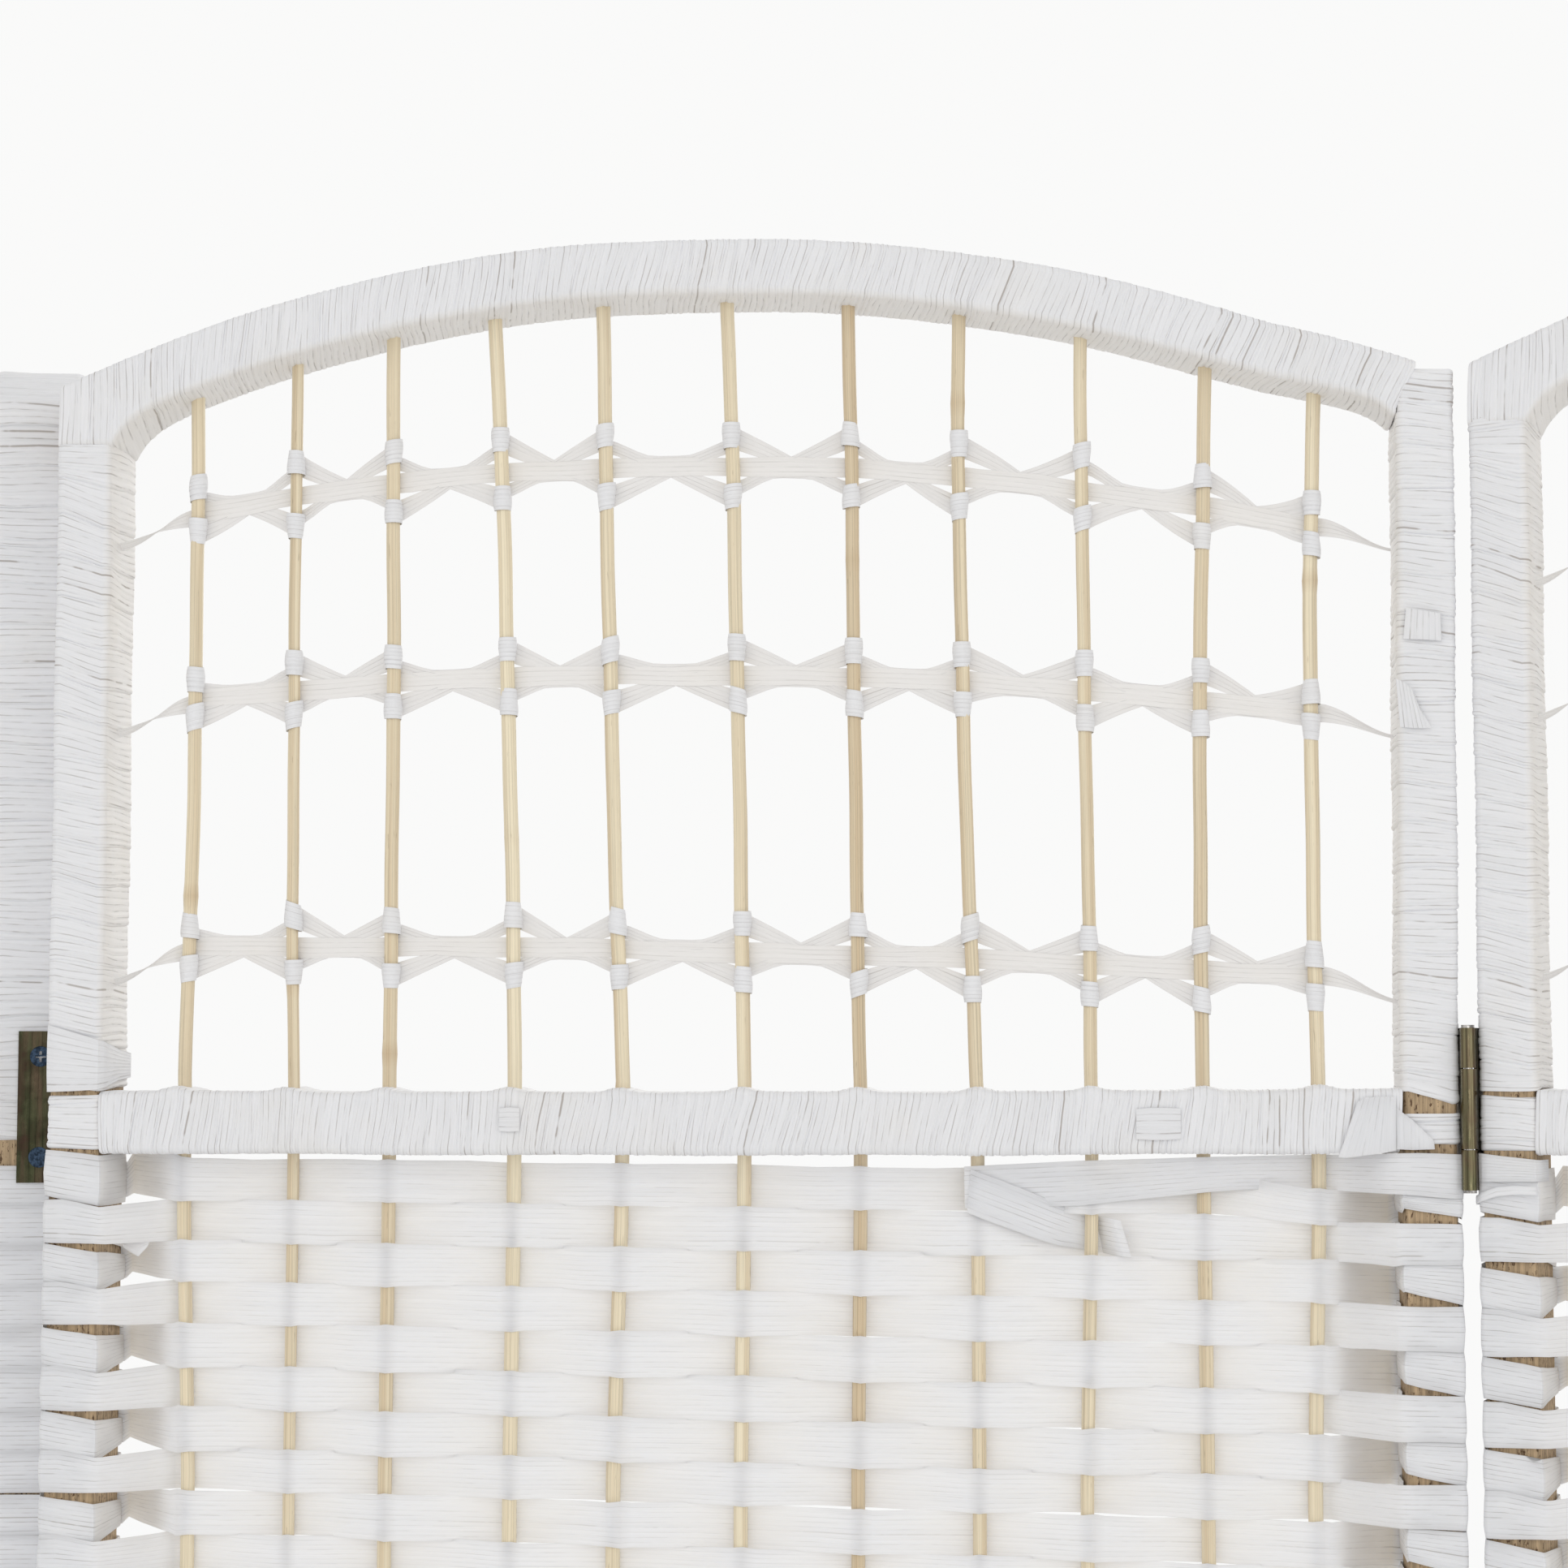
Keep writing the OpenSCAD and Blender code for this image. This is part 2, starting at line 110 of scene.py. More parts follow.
# How far each rod leans sideways from the mid rail to the arch, how far it bows halfway up, and how far it
# has wandered a hand's breadth below the mid rail
ROD_LEAN = np.array([1.2, -1.3, -0.9, -7.3, -6.8, -5.3, -3.2, -4.3, -1.6, 3.0, 2.2]) * MM
ROD_BOW = np.array([0.8, -0.8, 0.3, 1.2, -0.3, 0.6, 0, -1.6, -0.3, -1.0, -1.8]) * MM
ROD_WANDER = np.array([2.8, -0.3, -0.5, -0.9, -2.6, -1.1, -1.0, 0.2, -2.2, 0.5, -2.4]) * MM
WANDER_Z = MID_BOTTOM - 110 * MM
# Each rod's thickness, as a share of the frame's rod
ROD_GIRTH = np.array([1.02, 0.88, 0.99, 1.02, 0.98, 0.97, 0.95, 1.0, 0.98, 0.98, 1.0])
# How brown each rod is, from pale to dark
ROD_BROWN = np.array([0.12, 0.22, 0.20, 0.1, 0.2, 0.12, 0.48, 0.25, 0.15, 0.25, 0.15])
# How far the third panel's arch strays from a true circle, from its left end to its right end, how much
# slimmer it is than its rail, and how far the mid rail sags
ARCH_STRAY = np.array([2.2, 2.7, 3.2, 2.4, 0.6, -0.2, -2.0, -3.9, -1.0]) * MM
ARCH_SLIM = 1.6 * MM
MID_SAG = np.array([-1.1, -1.4, -1.2, -0.3]) * MM
# How far the tops of the third panel's right post lean outwards
POST_LEAN = 1.5 * MM

# Rows of the open lattice from low to top: height above the mid rail in the middle, fall towards the
# outer rods, rise from left to right, and distance between a rod's two knots
LATTICE_ROWS = (
    (38.5 * MM, 2.5 * MM, -9.4 * MM, 16.6 * MM),
    (118.5 * MM, 9.0 * MM, -7.3 * MM, 15.2 * MM),
    (179.4 * MM, 15.8 * MM, -9.3 * MM, 18.0 * MM),
)


def length(name, description, default, low, high):
    """A size that a user can set, given in millimetres."""
    return FloatProperty(name=name, description=description, default=default * MM, min=low * MM,
                         max=high * MM, unit="LENGTH", subtype="DISTANCE")


def swatch(name, description, *default):
    """A colour that a user can set."""
    return FloatVectorProperty(name=name, description=description, default=default, min=0, max=1,
                               subtype="COLOR")


class ScreenSizes(bpy.types.PropertyGroup):
    """Sizes of the finish that a user would change."""

    strand_w: length("Strand width", "Width of one wound paper strand", 1.75, 1, 4)
    strand_gap: length("Strand gap depth", "Depth of the valley between two wound strands", 0.24, 0.05, 0.6)
    band_pitch: length("Band pitch", "Height from one woven band to the next", 12.05, 8, 20)
    band_t: length("Band thickness", "Thickness of a woven band at its middle", 0.45, 0.2, 0.8)
    band_strands: IntProperty(
        name="Strands in a band", description="Number of fine strands that make up a band",
        default=9, min=5, max=14)
    ribbon_h: length("Ribbon height", "Height of a lattice ribbon", 5.4, 3, 8)
    ribbon_t: length("Ribbon thickness", "Thickness of a lattice ribbon", 0.35, 0.2, 0.6)
    knot_turns: FloatProperty(
        name="Knot turns", description="Turns of ribbon round a rod in one knot",
        default=3.0, min=1.25, max=4)
    knot_h: length("Knot ribbon height", "Height of the ribbon that is wound into a knot", 4.7, 3, 8)


class ScreenColours(bpy.types.PropertyGroup):
    """Colours of the finish that a user would change."""

    paper: swatch("Paper", "White of the paper", 0.86, 0.865, 0.89)
    paper_gap: swatch("Paper gap", "Tone between two strands", 0.40, 0.37, 0.36)
    # Paper shade is painted shade: the grey of a rod seen through thin paper
    paper_shade: swatch("Paper shade", "Tone of thin paper with a rod close behind it", 0.62, 0.61, 0.62)
    # The warm pale paper colour is mostly painted light: the tone of paper that faces inwards or runs behind a
    # post, as if lit through; the ribbons also take a little of it as their own tone
    paper_cream_and_painted_light: swatch(
        "Cream paper", "Tone of paper that faces inwards or runs behind a post", 0.95, 0.88, 0.77)
    bamboo: swatch("Bamboo", "Colour of a pale rod", 0.93, 0.83, 0.62)
    bamboo_brown: swatch("Brown bamboo", "Colour of a brown rod", 0.47, 0.29, 0.13)
    wood: swatch("Wood", "Colour of the bare posts", 0.49, 0.36, 0.225)
    wood_speck: swatch("Wood specks", "Colour of the grain and specks in the wood", 0.10, 0.055, 0.03)
    plate_gold: swatch("Plate gold", "Yellow part of the plated hinges", 0.095, 0.069, 0.045)
    plate_green: swatch("Plate green", "Green part of the plated hinges", 0.060, 0.064, 0.034)
    plate_rose: swatch("Plate rose", "Rose part of the plated hinges", 0.110, 0.055, 0.045)
    screw_blue: swatch("Screw blue", "Blue of the plated screws", 0.018, 0.028, 0.044)
    pin_steel: swatch("Pin steel", "Colour of pins and nails", 0.50, 0.48, 0.46)


# Finishes

# The frame's plain materials are named by slot, so the finishes here have a name of their own
FINISH_NAME = "screen_{}"


def scaled(colour, *by):
    """A colour times one factor, or times a factor for each of its parts, and no brighter than white."""
    return tuple(min(1.0, c * f) for c, f in zip(colour, by * 3))


class Finish:
    """A material whose node tree is built up a node at a time."""

    def __init__(self, name, roughness, metallic=0.0, specular=0.5):
        self.material = bpy.data.materials.new(FINISH_NAME.format(name))
        self.material.use_nodes = True
        self.tree = self.material.node_tree
        self.shader = self.tree.nodes["Principled BSDF"]
        self.fill(self.shader, {
            "Roughness": roughness, "Metallic": metallic, "Specular IOR Level": specular})

    def fill(self, node, inputs):
        """Links outputs to a node's inputs, or sets the inputs' own values."""
        for key, value in inputs.items():
            socket = node.inputs[key]
            if isinstance(value, bpy.types.NodeSocket):
                self.tree.links.new(value, socket)
            elif hasattr(value, "__len__"):
                socket.default_value = tuple(value) + (1.0,) * (len(socket.default_value) - len(value))
            else:
                socket.default_value = value

    def node(self, kind, inputs, **settings):
        made = self.tree.nodes.new(kind)
        for key, value in settings.items():
            setattr(made, key, value)
        self.fill(made, inputs)
        return made

    def place(self, scale=None, turn=(0, 0, 0)):
        """Places on the object, stretched and turned if asked."""
        place = self.node("ShaderNodeTexCoord", {}).outputs["Object"]
        return self.node("ShaderNodeMapping", {0: place, 2: turn, 3: scale}).outputs[0] if scale else place

    def uv(self):
        """Both parts of the UV map."""
        place = self.node("ShaderNodeUVMap", {}).outputs[0]
        return self.node("ShaderNodeSeparateXYZ", {0: place}).outputs[:2]

    def tint(self, name):
        """A tint that the mesh carries."""
        return self.node("ShaderNodeAttribute", {}, attribute_name=name).outputs["Fac"]

    def math(self, operation, a, b=0.0, clamp=False):
        return self.node("ShaderNodeMath", {0: a, 1: b}, operation=operation, use_clamp=clamp).outputs[0]

    def times(self, a, b):
        return self.math("MULTIPLY", a, b)

    def vector(self, x, y, z=0.0):
        return self.node("ShaderNodeCombineXYZ", {0: x, 1: y, 2: z}).outputs[0]

    def noise(self, vector, scale=1.0, detail=2.0, roughness=0.5):
        return self.node("ShaderNodeTexNoise", {
            "Vector": vector, "Scale": scale, "Detail": detail, "Roughness": roughness}).outputs["Fac"]

    def chance(self, w):
        """One random number for each whole number w."""
        return self.node("ShaderNodeTexWhiteNoise", {"W": w}, noise_dimensions="1D").outputs["Value"]

    def spread(self, value, low, high, to_low=0.0, to_high=1.0):
        return self.node("ShaderNodeMapRange", {
            "Value": value, "From Min": low, "From Max": high, "To Min": to_low, "To Max": to_high},
            interpolation_type="SMOOTHSTEP").outputs["Result"]

    def blend(self, share, a, b):
        return self.node("ShaderNodeMix", {0: share, 6: a, 7: b}, data_type="RGBA").outputs[2]

    def darker(self, colour, amount):
        """A colour times one less an amount."""
        left = self.math("SUBTRACT", 1.0, amount, clamp=True)
        grey = self.node("ShaderNodeCombineColor", {0: left, 1: left, 2: left}).outputs[0]
        return self.node("ShaderNodeMix", {0: 1.0, 6: colour, 7: grey},
                         data_type="RGBA", blend_type="MULTIPLY").outputs[2]

    def relief(self, height, depth):
        """A surface that is raised by up to a depth."""
        bump = self.node("ShaderNodeBump", {"Height": height, "Distance": depth, "Strength": 1.0})
        self.fill(self.shader, {"Normal": bump.outputs[0]})


def paper_finish(name, colours, gap_share, gap_width, open_share, depth, soak):
    """Paper strands side by side. The UV map holds metres along a strand and a count of strands across."""
    paper = Finish(name, 0.62, specular=0.3)
    # Light soaks through the thin paper, so its far sides stay pale
    paper.fill(paper.shader, {
        "Subsurface Weight": soak, "Subsurface Radius": (1.0, 0.92, 0.8), "Subsurface Scale": 1.5 * MM})
    along, across = paper.uv()
    within = paper.math("FRACT", across)
    to_gap = paper.math("MINIMUM", within, paper.math("SUBTRACT", 1.0, within))
    border = paper.math("FLOOR", paper.math("ADD", across, 0.5))
    # A gap comes and goes along its strand, and a few gaps stand open
    fade = paper.noise(paper.vector(paper.times(along, 85.0), paper.times(border, 7.31)), 1.0, 3.0, 0.6)
    opened = paper.spread(paper.chance(border), 1.0 - open_share, 1.0)
    opened = paper.times(opened, paper.spread(fade, 0.36, 0.56))
    seen = paper.math("ADD", paper.spread(fade, 0.38, 0.66), opened, clamp=True)
    width = paper.math("ADD", gap_width, paper.times(opened, gap_width))
    line = paper.math("SUBTRACT", 1.0, paper.spread(paper.math("DIVIDE", to_gap, width), 0.2, 1.0))
    gap = paper.math("MULTIPLY", paper.times(line, seen), gap_share, clamp=True)
    # Fine fibres run along each strand
    strand = paper.math("FLOOR", across)
    fibre = paper.noise(paper.vector(paper.times(along, 30.0), paper.times(across, 5.0),
                                     paper.times(strand, 3.7)), 1.0, 4.0, 0.65)
    stain = paper.spread(paper.noise(paper.place(), 28.0, 3.0, 0.6), 0.50, 0.78, 0.0, 0.30)
    tone = paper.times(paper.chance(strand), 0.035)
    tone = paper.math("ADD", tone, paper.spread(fibre, 0.35, 0.75, 0.0, 0.05))
    colour = paper.darker(paper.blend(stain, colours.paper, scaled(colours.paper, 0.98, 0.94, 0.86)), tone)
    # Painted light: paper turned inwards or running behind a post is painted a warm pale tone, as if lit
    # through the paper; the ribbons take a little of it as their own tone
    colour = paper.blend(paper.times(paper.tint("cream_and_painted_light"), 0.75), colour, colours.paper_cream_and_painted_light)
    # Painted shade: paper with a rod close behind it is painted grey
    colour = paper.blend(paper.times(paper.tint("shade"), 0.28), colour, colours.paper_shade)
    line_colour = paper.blend(opened, colours.paper_gap, scaled(colours.paper_gap, 0.62, 0.52, 0.42))
    gap = paper.math("MULTIPLY", gap, paper.tint("lines"), clamp=True)
    paper.fill(paper.shader, {"Base Color": paper.blend(gap, colour, line_colour)})
    swell = paper.math("POWER", paper.times(to_gap, 2.0), 0.5)
    paper.relief(paper.math("ADD", paper.times(swell, 0.6), paper.times(fibre, 0.5)), depth)
    return paper.material


def bamboo_finish(colours):
    """Split bamboo. The UV map holds the rod's number and share of its girth, and metres along it."""
    bamboo = Finish("bamboo", 0.45, specular=0.4)
    girth, along = bamboo.uv()

    def fibres(round_rod, along_rod, layer, detail=2.0, roughness=0.5):
        place = bamboo.vector(bamboo.times(girth, round_rod), bamboo.times(along, along_rod), layer)
        return bamboo.noise(place, 1.0, detail, roughness)

    brown = bamboo.tint("shade")
    grain = fibres(40.0, 9.0, 0.0, 5.0, 0.7)
    streak = fibres(5.0, 3.0, 4.0)
    fleck = fibres(14.0, 120.0, 9.0)
    mix = bamboo.math("ADD", brown, bamboo.spread(streak, 0.35, 0.75, -0.12, 0.22), clamp=True)
    colour = bamboo.blend(mix, colours.bamboo, colours.bamboo_brown)
    colour = bamboo.darker(colour, bamboo.spread(grain, 0.42, 0.72, 0.0, 0.34))
    specks = bamboo.math("ADD", 0.15, bamboo.times(brown, 0.6))
    specks = bamboo.times(bamboo.spread(fleck, 0.66, 0.74), specks)
    bamboo.fill(bamboo.shader, {
        "Base Color": bamboo.blend(specks, colour, scaled(colours.bamboo_brown, 0.35)),
        "Roughness": bamboo.spread(grain, 0.3, 0.7, 0.38, 0.6)})
    bamboo.relief(grain, 0.12 * MM)
    return bamboo.material


def wood_finish(colours):
    """Sawn wood with its grain along Z and dark specks."""
    wood = Finish("bare_wood", 0.72, specular=0.25)
    grain = wood.noise(wood.place((900.0, 900.0, 34.0)), 1.0, 5.0, 0.7)
    specks = wood.noise(wood.place((1100.0, 1100.0, 420.0)), 1.0, 3.0, 0.7)
    colour = wood.blend(wood.spread(grain, 0.3, 0.7), scaled(colours.wood, 1.25), scaled(colours.wood, 0.55))
    colour = wood.blend(wood.spread(specks, 0.55, 0.64, 0.0, 0.95), colour, colours.wood_speck)
    wood.fill(wood.shader, {"Base Color": colour})
    wood.relief(grain, 0.25 * MM)
    return wood.material


def plate_finish(colours):
    """Yellow passivated zinc, with green and rose patches and fine scratches, and painted highlights and shade.
    """
    plate = Finish("zinc_plate", 0.3, metallic=1.0)
    patches = plate.noise(plate.place((340.0, 340.0, 55.0)))
    blotch = plate.noise(plate.place(), 150.0, 3.0, 0.6)
    streaks = plate.noise(plate.place((1500.0, 1500.0, 26.0), (0.1, 0.2, 0.4)), 1.0, 2.0, 0.6)
    scratch = plate.noise(plate.place((2600.0, 2600.0, 240.0), (0.3, 0.5, 0.2)), 1.0, 3.0, 0.7)
    colour = plate.blend(plate.spread(patches, 0.32, 0.68), colours.plate_gold, colours.plate_green)
    colour = plate.blend(plate.spread(blotch, 0.52, 0.75, 0.0, 0.6), colour, colours.plate_rose)
    # Painted light: the hinges to the left of the third panel are painted darker, as shade, and the others
    # lighter, with painted highlights in narrow stripes
    to_right = plate.node("ShaderNodeSeparateXYZ", {0: plate.place()}).outputs[0]
    painted_light_share = plate.spread(to_right, 0.02, 0.12)
    bright = scaled(colours.plate_gold, 3.2, 3.9, 3.4)
    painted_glint = plate.spread(streaks, 0.53, 0.68, 0.0, 0.6)
    for share in (plate.times(painted_light_share, 0.22), plate.times(painted_glint, plate.spread(painted_light_share, 0.0, 1.0, 0.1, 1.0))):
        colour = plate.blend(share, colour, bright)
    # Painted shade in dark stripes and on the hinges to the left, and the real scratches
    for amount in (plate.spread(streaks, 0.46, 0.34, 0.0, 0.4), plate.spread(painted_light_share, 0.0, 1.0, 0.55, 0.0),
                   plate.spread(scratch, 0.55, 0.75, 0.0, 0.35)):
        colour = plate.darker(colour, amount)
    plate.fill(plate.shader, {
        "Base Color": colour, "Roughness": plate.spread(blotch, 0.3, 0.7, 0.2, 0.42)})
    plate.relief(scratch, 0.03 * MM)
    return plate.material


def metal_finish(name, colour, tint_scale, roughness):
    """Plain plated metal with a slight change of tone over its surface."""
    metal = Finish(name, roughness, metallic=1.0)
    tone = metal.noise(metal.place(), tint_scale, 3.0, 0.6)
    metal.fill(metal.shader, {
        "Base Color": metal.darker(colour, metal.spread(tone, 0.38, 0.64, 0.0, 0.6)),
        "Roughness": metal.spread(tone, 0.3, 0.7, roughness * 0.8, roughness * 1.4)})
    metal.relief(tone, 0.04 * MM)
    return metal.material


def finish_named(name, context):
    """The material with that name, made when it is first asked for."""
    made = bpy.data.materials.get(FINISH_NAME.format(name))
    if made:
        return made
    colours = context.scene.screen_colours
    # Tone and width of a paper's gaps, share of them that stands open, relief, and how far light soaks in
    papers = {
        "paper_strand": (0.64, 0.12, 0.14, 0.2 * MM, 0.1),
        "paper_bands": (0.62, 0.13, 0.08, 0.11 * MM, 0.25),
        "paper_ribbon": (0.36, 0.12, 0.04, 0.14 * MM, 0.0),
    }
    metals = {"screw_steel": (colours.screw_blue, 800.0, 0.18), "steel": (colours.pin_steel, 600.0, 0.34)}
    if name in papers:
        return paper_finish(name, colours, *papers[name])
    if name in metals:
        return metal_finish(name, *metals[name])
    return {"bamboo": bamboo_finish, "bare_wood": wood_finish, "zinc_plate": plate_finish}[name](colours)


# Mesh helpers

def panel_place(p):
    """Matrix from a panel's own frame, x between its end faces and y from its middle, to the row frame."""
    left, right = (sum(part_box(f"panel_{p}_{side}_post"), Vector((0, 0, 0))) / 2 for side in ("left", "right"))
    along = Vector((right.x - left.x, right.y - left.y, 0)).normalized()
    origin = left - along * POST_CENTRE
    return Matrix((
        (along.x, -along.y, 0, origin.x),
        (along.y, along.x, 0, origin.y),
        (0, 0, 1, 0),
        (0, 0, 0, 1)))


def write_smooth(bm, mesh):
    """Writes faces to a mesh, smooth but for sharp edges."""
    bm.to_mesh(mesh)
    bm.free()
    mesh.polygons.foreach_set("use_smooth", np.ones(len(mesh.polygons), dtype=bool))
    mesh.set_sharp_from_angle(angle=SHARP)


# Tints that a strip carries, and their usual values: a grey tint that is painted shade of a rod behind thin
# paper and also a rod's own brown, a warm pale tint that is painted light on bands and windings and the
# ribbons' own tone, and the strength of the strand lines
TINTS = {"shade": 0.0, "cream_and_painted_light": 0.0, "lines": 1.0}
# Places across a flat strip on the way once round its section
EIGHT_ACROSS = np.array([0, 0.25, 0.5, 0.75, 1, 0.75, 0.5, 0.25, 0])
SIX_ACROSS = np.array([0, 0.33, 0.67, 1, 0.67, 0.33, 0])


def strip_mesh(name, count, cells, around, shape):
    """A mesh of count closed strips, each cells long and around cells round, bent out of one grid.

    shape is given the strip, the place along it and the place round it of each vertex, as arrays of whole
    numbers. It returns places (x, y, z), UVs (u, v) and tints, which name how grey the paper is with painted
    shade, how warm and pale with painted light or its own tone, and how lined it is there. Seams and ends that
    meet are merged.
    """
    lines = count * (around + 1) - 1
    bm = bmesh.new()
    bmesh.ops.create_grid(bm, x_segments=cells, y_segments=lines, size=1.0)
    if count > 1:
        between = [f for f in bm.faces
                   if int((f.calc_center_median().y + 1) / 2 * lines) % (around + 1) == around]
        bmesh.ops.delete(bm, geom=between, context="FACES")
    mesh = bpy.data.meshes.new(name)
    bm.to_mesh(mesh)
    bm.free()
    flat = np.empty(len(mesh.vertices) * 3)
    mesh.vertices.foreach_get("co", flat)
    flat = flat.reshape(-1, 3)
    along = np.rint((flat[:, 0] + 1) / 2 * cells).astype(int)
    line = np.rint((flat[:, 1] + 1) / 2 * lines).astype(int)
    places, uvs, tints = shape(line // (around + 1), along, line % (around + 1))
    mesh.vertices.foreach_set("co", np.stack(places, axis=1).ravel())
    corners = np.empty(len(mesh.loops), dtype=np.int64)
    mesh.loops.foreach_get("vertex_index", corners)
    uvs = np.stack(uvs, axis=1)[corners].astype(np.float32)
    mesh.uv_layers.new(name="UVMap").data.foreach_set("uv", uvs.ravel())
    for tint, usual in TINTS.items():
        values = np.broadcast_to(tints.get(tint, usual), len(along)).astype(np.float32)
        mesh.attributes.new(tint, "FLOAT", "POINT").data.foreach_set("value", values)
    bm = bmesh.new()
    bm.from_mesh(mesh)
    bmesh.ops.remove_doubles(bm, verts=bm.verts, dist=MERGE)
    bmesh.ops.dissolve_degenerate(bm, dist=MERGE, edges=bm.edges)
    bmesh.ops.recalc_face_normals(bm, faces=bm.faces)
    write_smooth(bm, mesh)
    return mesh


def add_piece(context, p, mesh, finish, node=None):
    """Adds a panel's mesh as a piece that rides on the panel and stands for a CAD node, if one is named."""
    mesh.transform(panel_place(p))
    piece = bpy.data.objects.new(mesh.name, mesh)
    context.scene.collection.objects.link(piece)
    mesh.materials.append(finish_named(finish, context))
    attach(piece, f"panel_{p}")
    if node:
        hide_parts(f"panel_{p}_{node}")


def add_strips(context, p, name, finish, count, cells, around, shape, node=None):
    """Adds a panel's piece that is bent out of strips."""
    add_piece(context, p, strip_mesh(f"panel_{p}_{name}", count, cells, around, shape), finish, node)


def refinish(context, node, finish):
    """Gives a CAD node another finish."""
    node.data.materials.clear()
    node.data.materials.append(finish_named(finish, context))


def wave(seed, numbers, x, length):
    """A smooth wandering value between about -1 and 1 for each numbered line, at places x along it."""
    turns = np.random.default_rng(seed).random((int(np.max(numbers)) + 1, 3)) * FULL_TURN
    first = np.sin(x / length * FULL_TURN + turns[numbers, 0])
    second = np.sin(x / length * FULL_TURN * 2.3 + turns[numbers, 1])
    third = np.sin(x / length * FULL_TURN * 4.9 + turns[numbers, 2])
    return 0.5 * first + 0.32 * second + 0.18 * third


def smooth(x):
    """Eases a share from 0 to 1 in and out."""
    x = np.clip(x, 0, 1)
    return x * x * (3 - 2 * x)


def read_along(x, values):
    """Reads evenly spaced values off at places x along a panel."""
    return np.interp(np.clip(x / PANEL_W, 0, 1) * (len(values) - 1), np.arange(len(values)), values)


def arch_stray(p, x):
    """How far a panel's arch lies off its circle at places x."""
    return read_along(x, ARCH_STRAY) * {3: 1.0, 4: 0.5}.get(p, -0.4)


def mid_sag(p, x):
    """How far a panel's mid rail lies off its even height at places x."""
    return read_along(x, MID_SAG) * (1.0 if p == 3 else 0.5)


def arch_z(p, x, r):
    """Height of a circle of radius r about the arch's centre, with the panel's own stray."""
    return ARCH_CENTRE_Z + np.sqrt(r * r - (x - HALF_W) ** 2) + arch_stray(p, x)


def arch_under(p, x):
    """Height of the wound arch's underside."""
    return arch_z(p, x, ARCH_R - RAIL_H) + ARCH_SLIM + 2.3 * MM * smooth((x - 320 * MM) / (60 * MM))


def rod_x(p, i, z):
    """Place along the panel of rod i at height z. Rods lean between the mid rail and the arch."""
    way = np.clip((z - MID_TOP) / (CROWN_Z - RAIL_H - MID_TOP), 0, 1)
    fallen = smooth((MID_BOTTOM - z) / (MID_BOTTOM - WANDER_Z))
    fallen = fallen * np.clip((z - FOOT_RAIL_TOP) / WANDER_Z, 0, 1)
    lean, bow, wander = ROD_LEAN, ROD_BOW, ROD_WANDER
    if p != 3:
        lean, bow, wander = (values[::-1] * (-0.6 if p == 2 else 0.7) for values in (lean, bow, wander))
    return ROD_X[i] + lean[i] * way + bow[i] * 4 * way * (1 - way) + wander[i] * fallen


# Wound pieces

# Radius of a wound bar's corners
CORNER = 2.2 * MM
# How uneven the winding is: the share by which a strand's width varies, how far a strand stands proud, how
# many strands were laid on the posts together and the step up to them
STRAND_VARIES = 0.34
STRAND_PROUD = 0.22 * MM
LAID_TOGETHER = 6
LAID_STEP = 0.30 * MM
# How far the turns, and each strand by itself, swing along the bar on their way round it
TURN_SWING = 0.55 * MM
STRAND_SWING = 0.20 * MM
# Depth of the plain inner face under the winding's outer surface
SLEEVE_T = WRAP_T - 0.1 * MM
# How far each post ends under its top in the frame, so that the winding covers it
LEFT_COVER = 5.8 * MM
RIGHT_COVER = 4.5 * MM
# How much lower the third panel's right post and its winding end than the other right posts
RIGHT_TOP_DROP = 3.5 * MM
# Heights below the posts' tops at which the arch's winding starts and the left post's winding ends
ARCH_START = 21.5 * MM
LEFT_WOUND = 20.5 * MM


def ring_template():
    """One ring of a wound bar, from its lower back corner forwards.

    Each point is a share of the way between the corner centres, low to high and front to back, and a
    direction outwards. Three steps turn each corner and three cross each side.
    """
    corners = ((0, 1, 180), (0, 0, 270), (1, 0, 360), (1, 1, 450))
    points = []
    for number, (high, back, start) in enumerate(corners):
        following = corners[(number + 1) % 4]
        for step in range(6):
            angle = math.radians(start + min(step, 3) * 30)
            share = max(step - 3, 0) / 3
            points.append((high + (following[0] - high) * share, back + (following[1] - back) * share,
                           math.sin(angle), -math.cos(angle)))
    return np.array(points + points[:1])


def gap_places(seed, low, high, width):
    """Places of the gaps between strands from low to a little past high, with uneven widths."""
    count = max(3, round((high - low) / width))
    widths = width * (1 + STRAND_VARIES * (np.random.default_rng(seed).random(count + 2) - 0.5))
    widths *= (high - low) / np.sum(widths[:count])
    return low + np.concatenate(([0.0], np.cumsum(widths)))


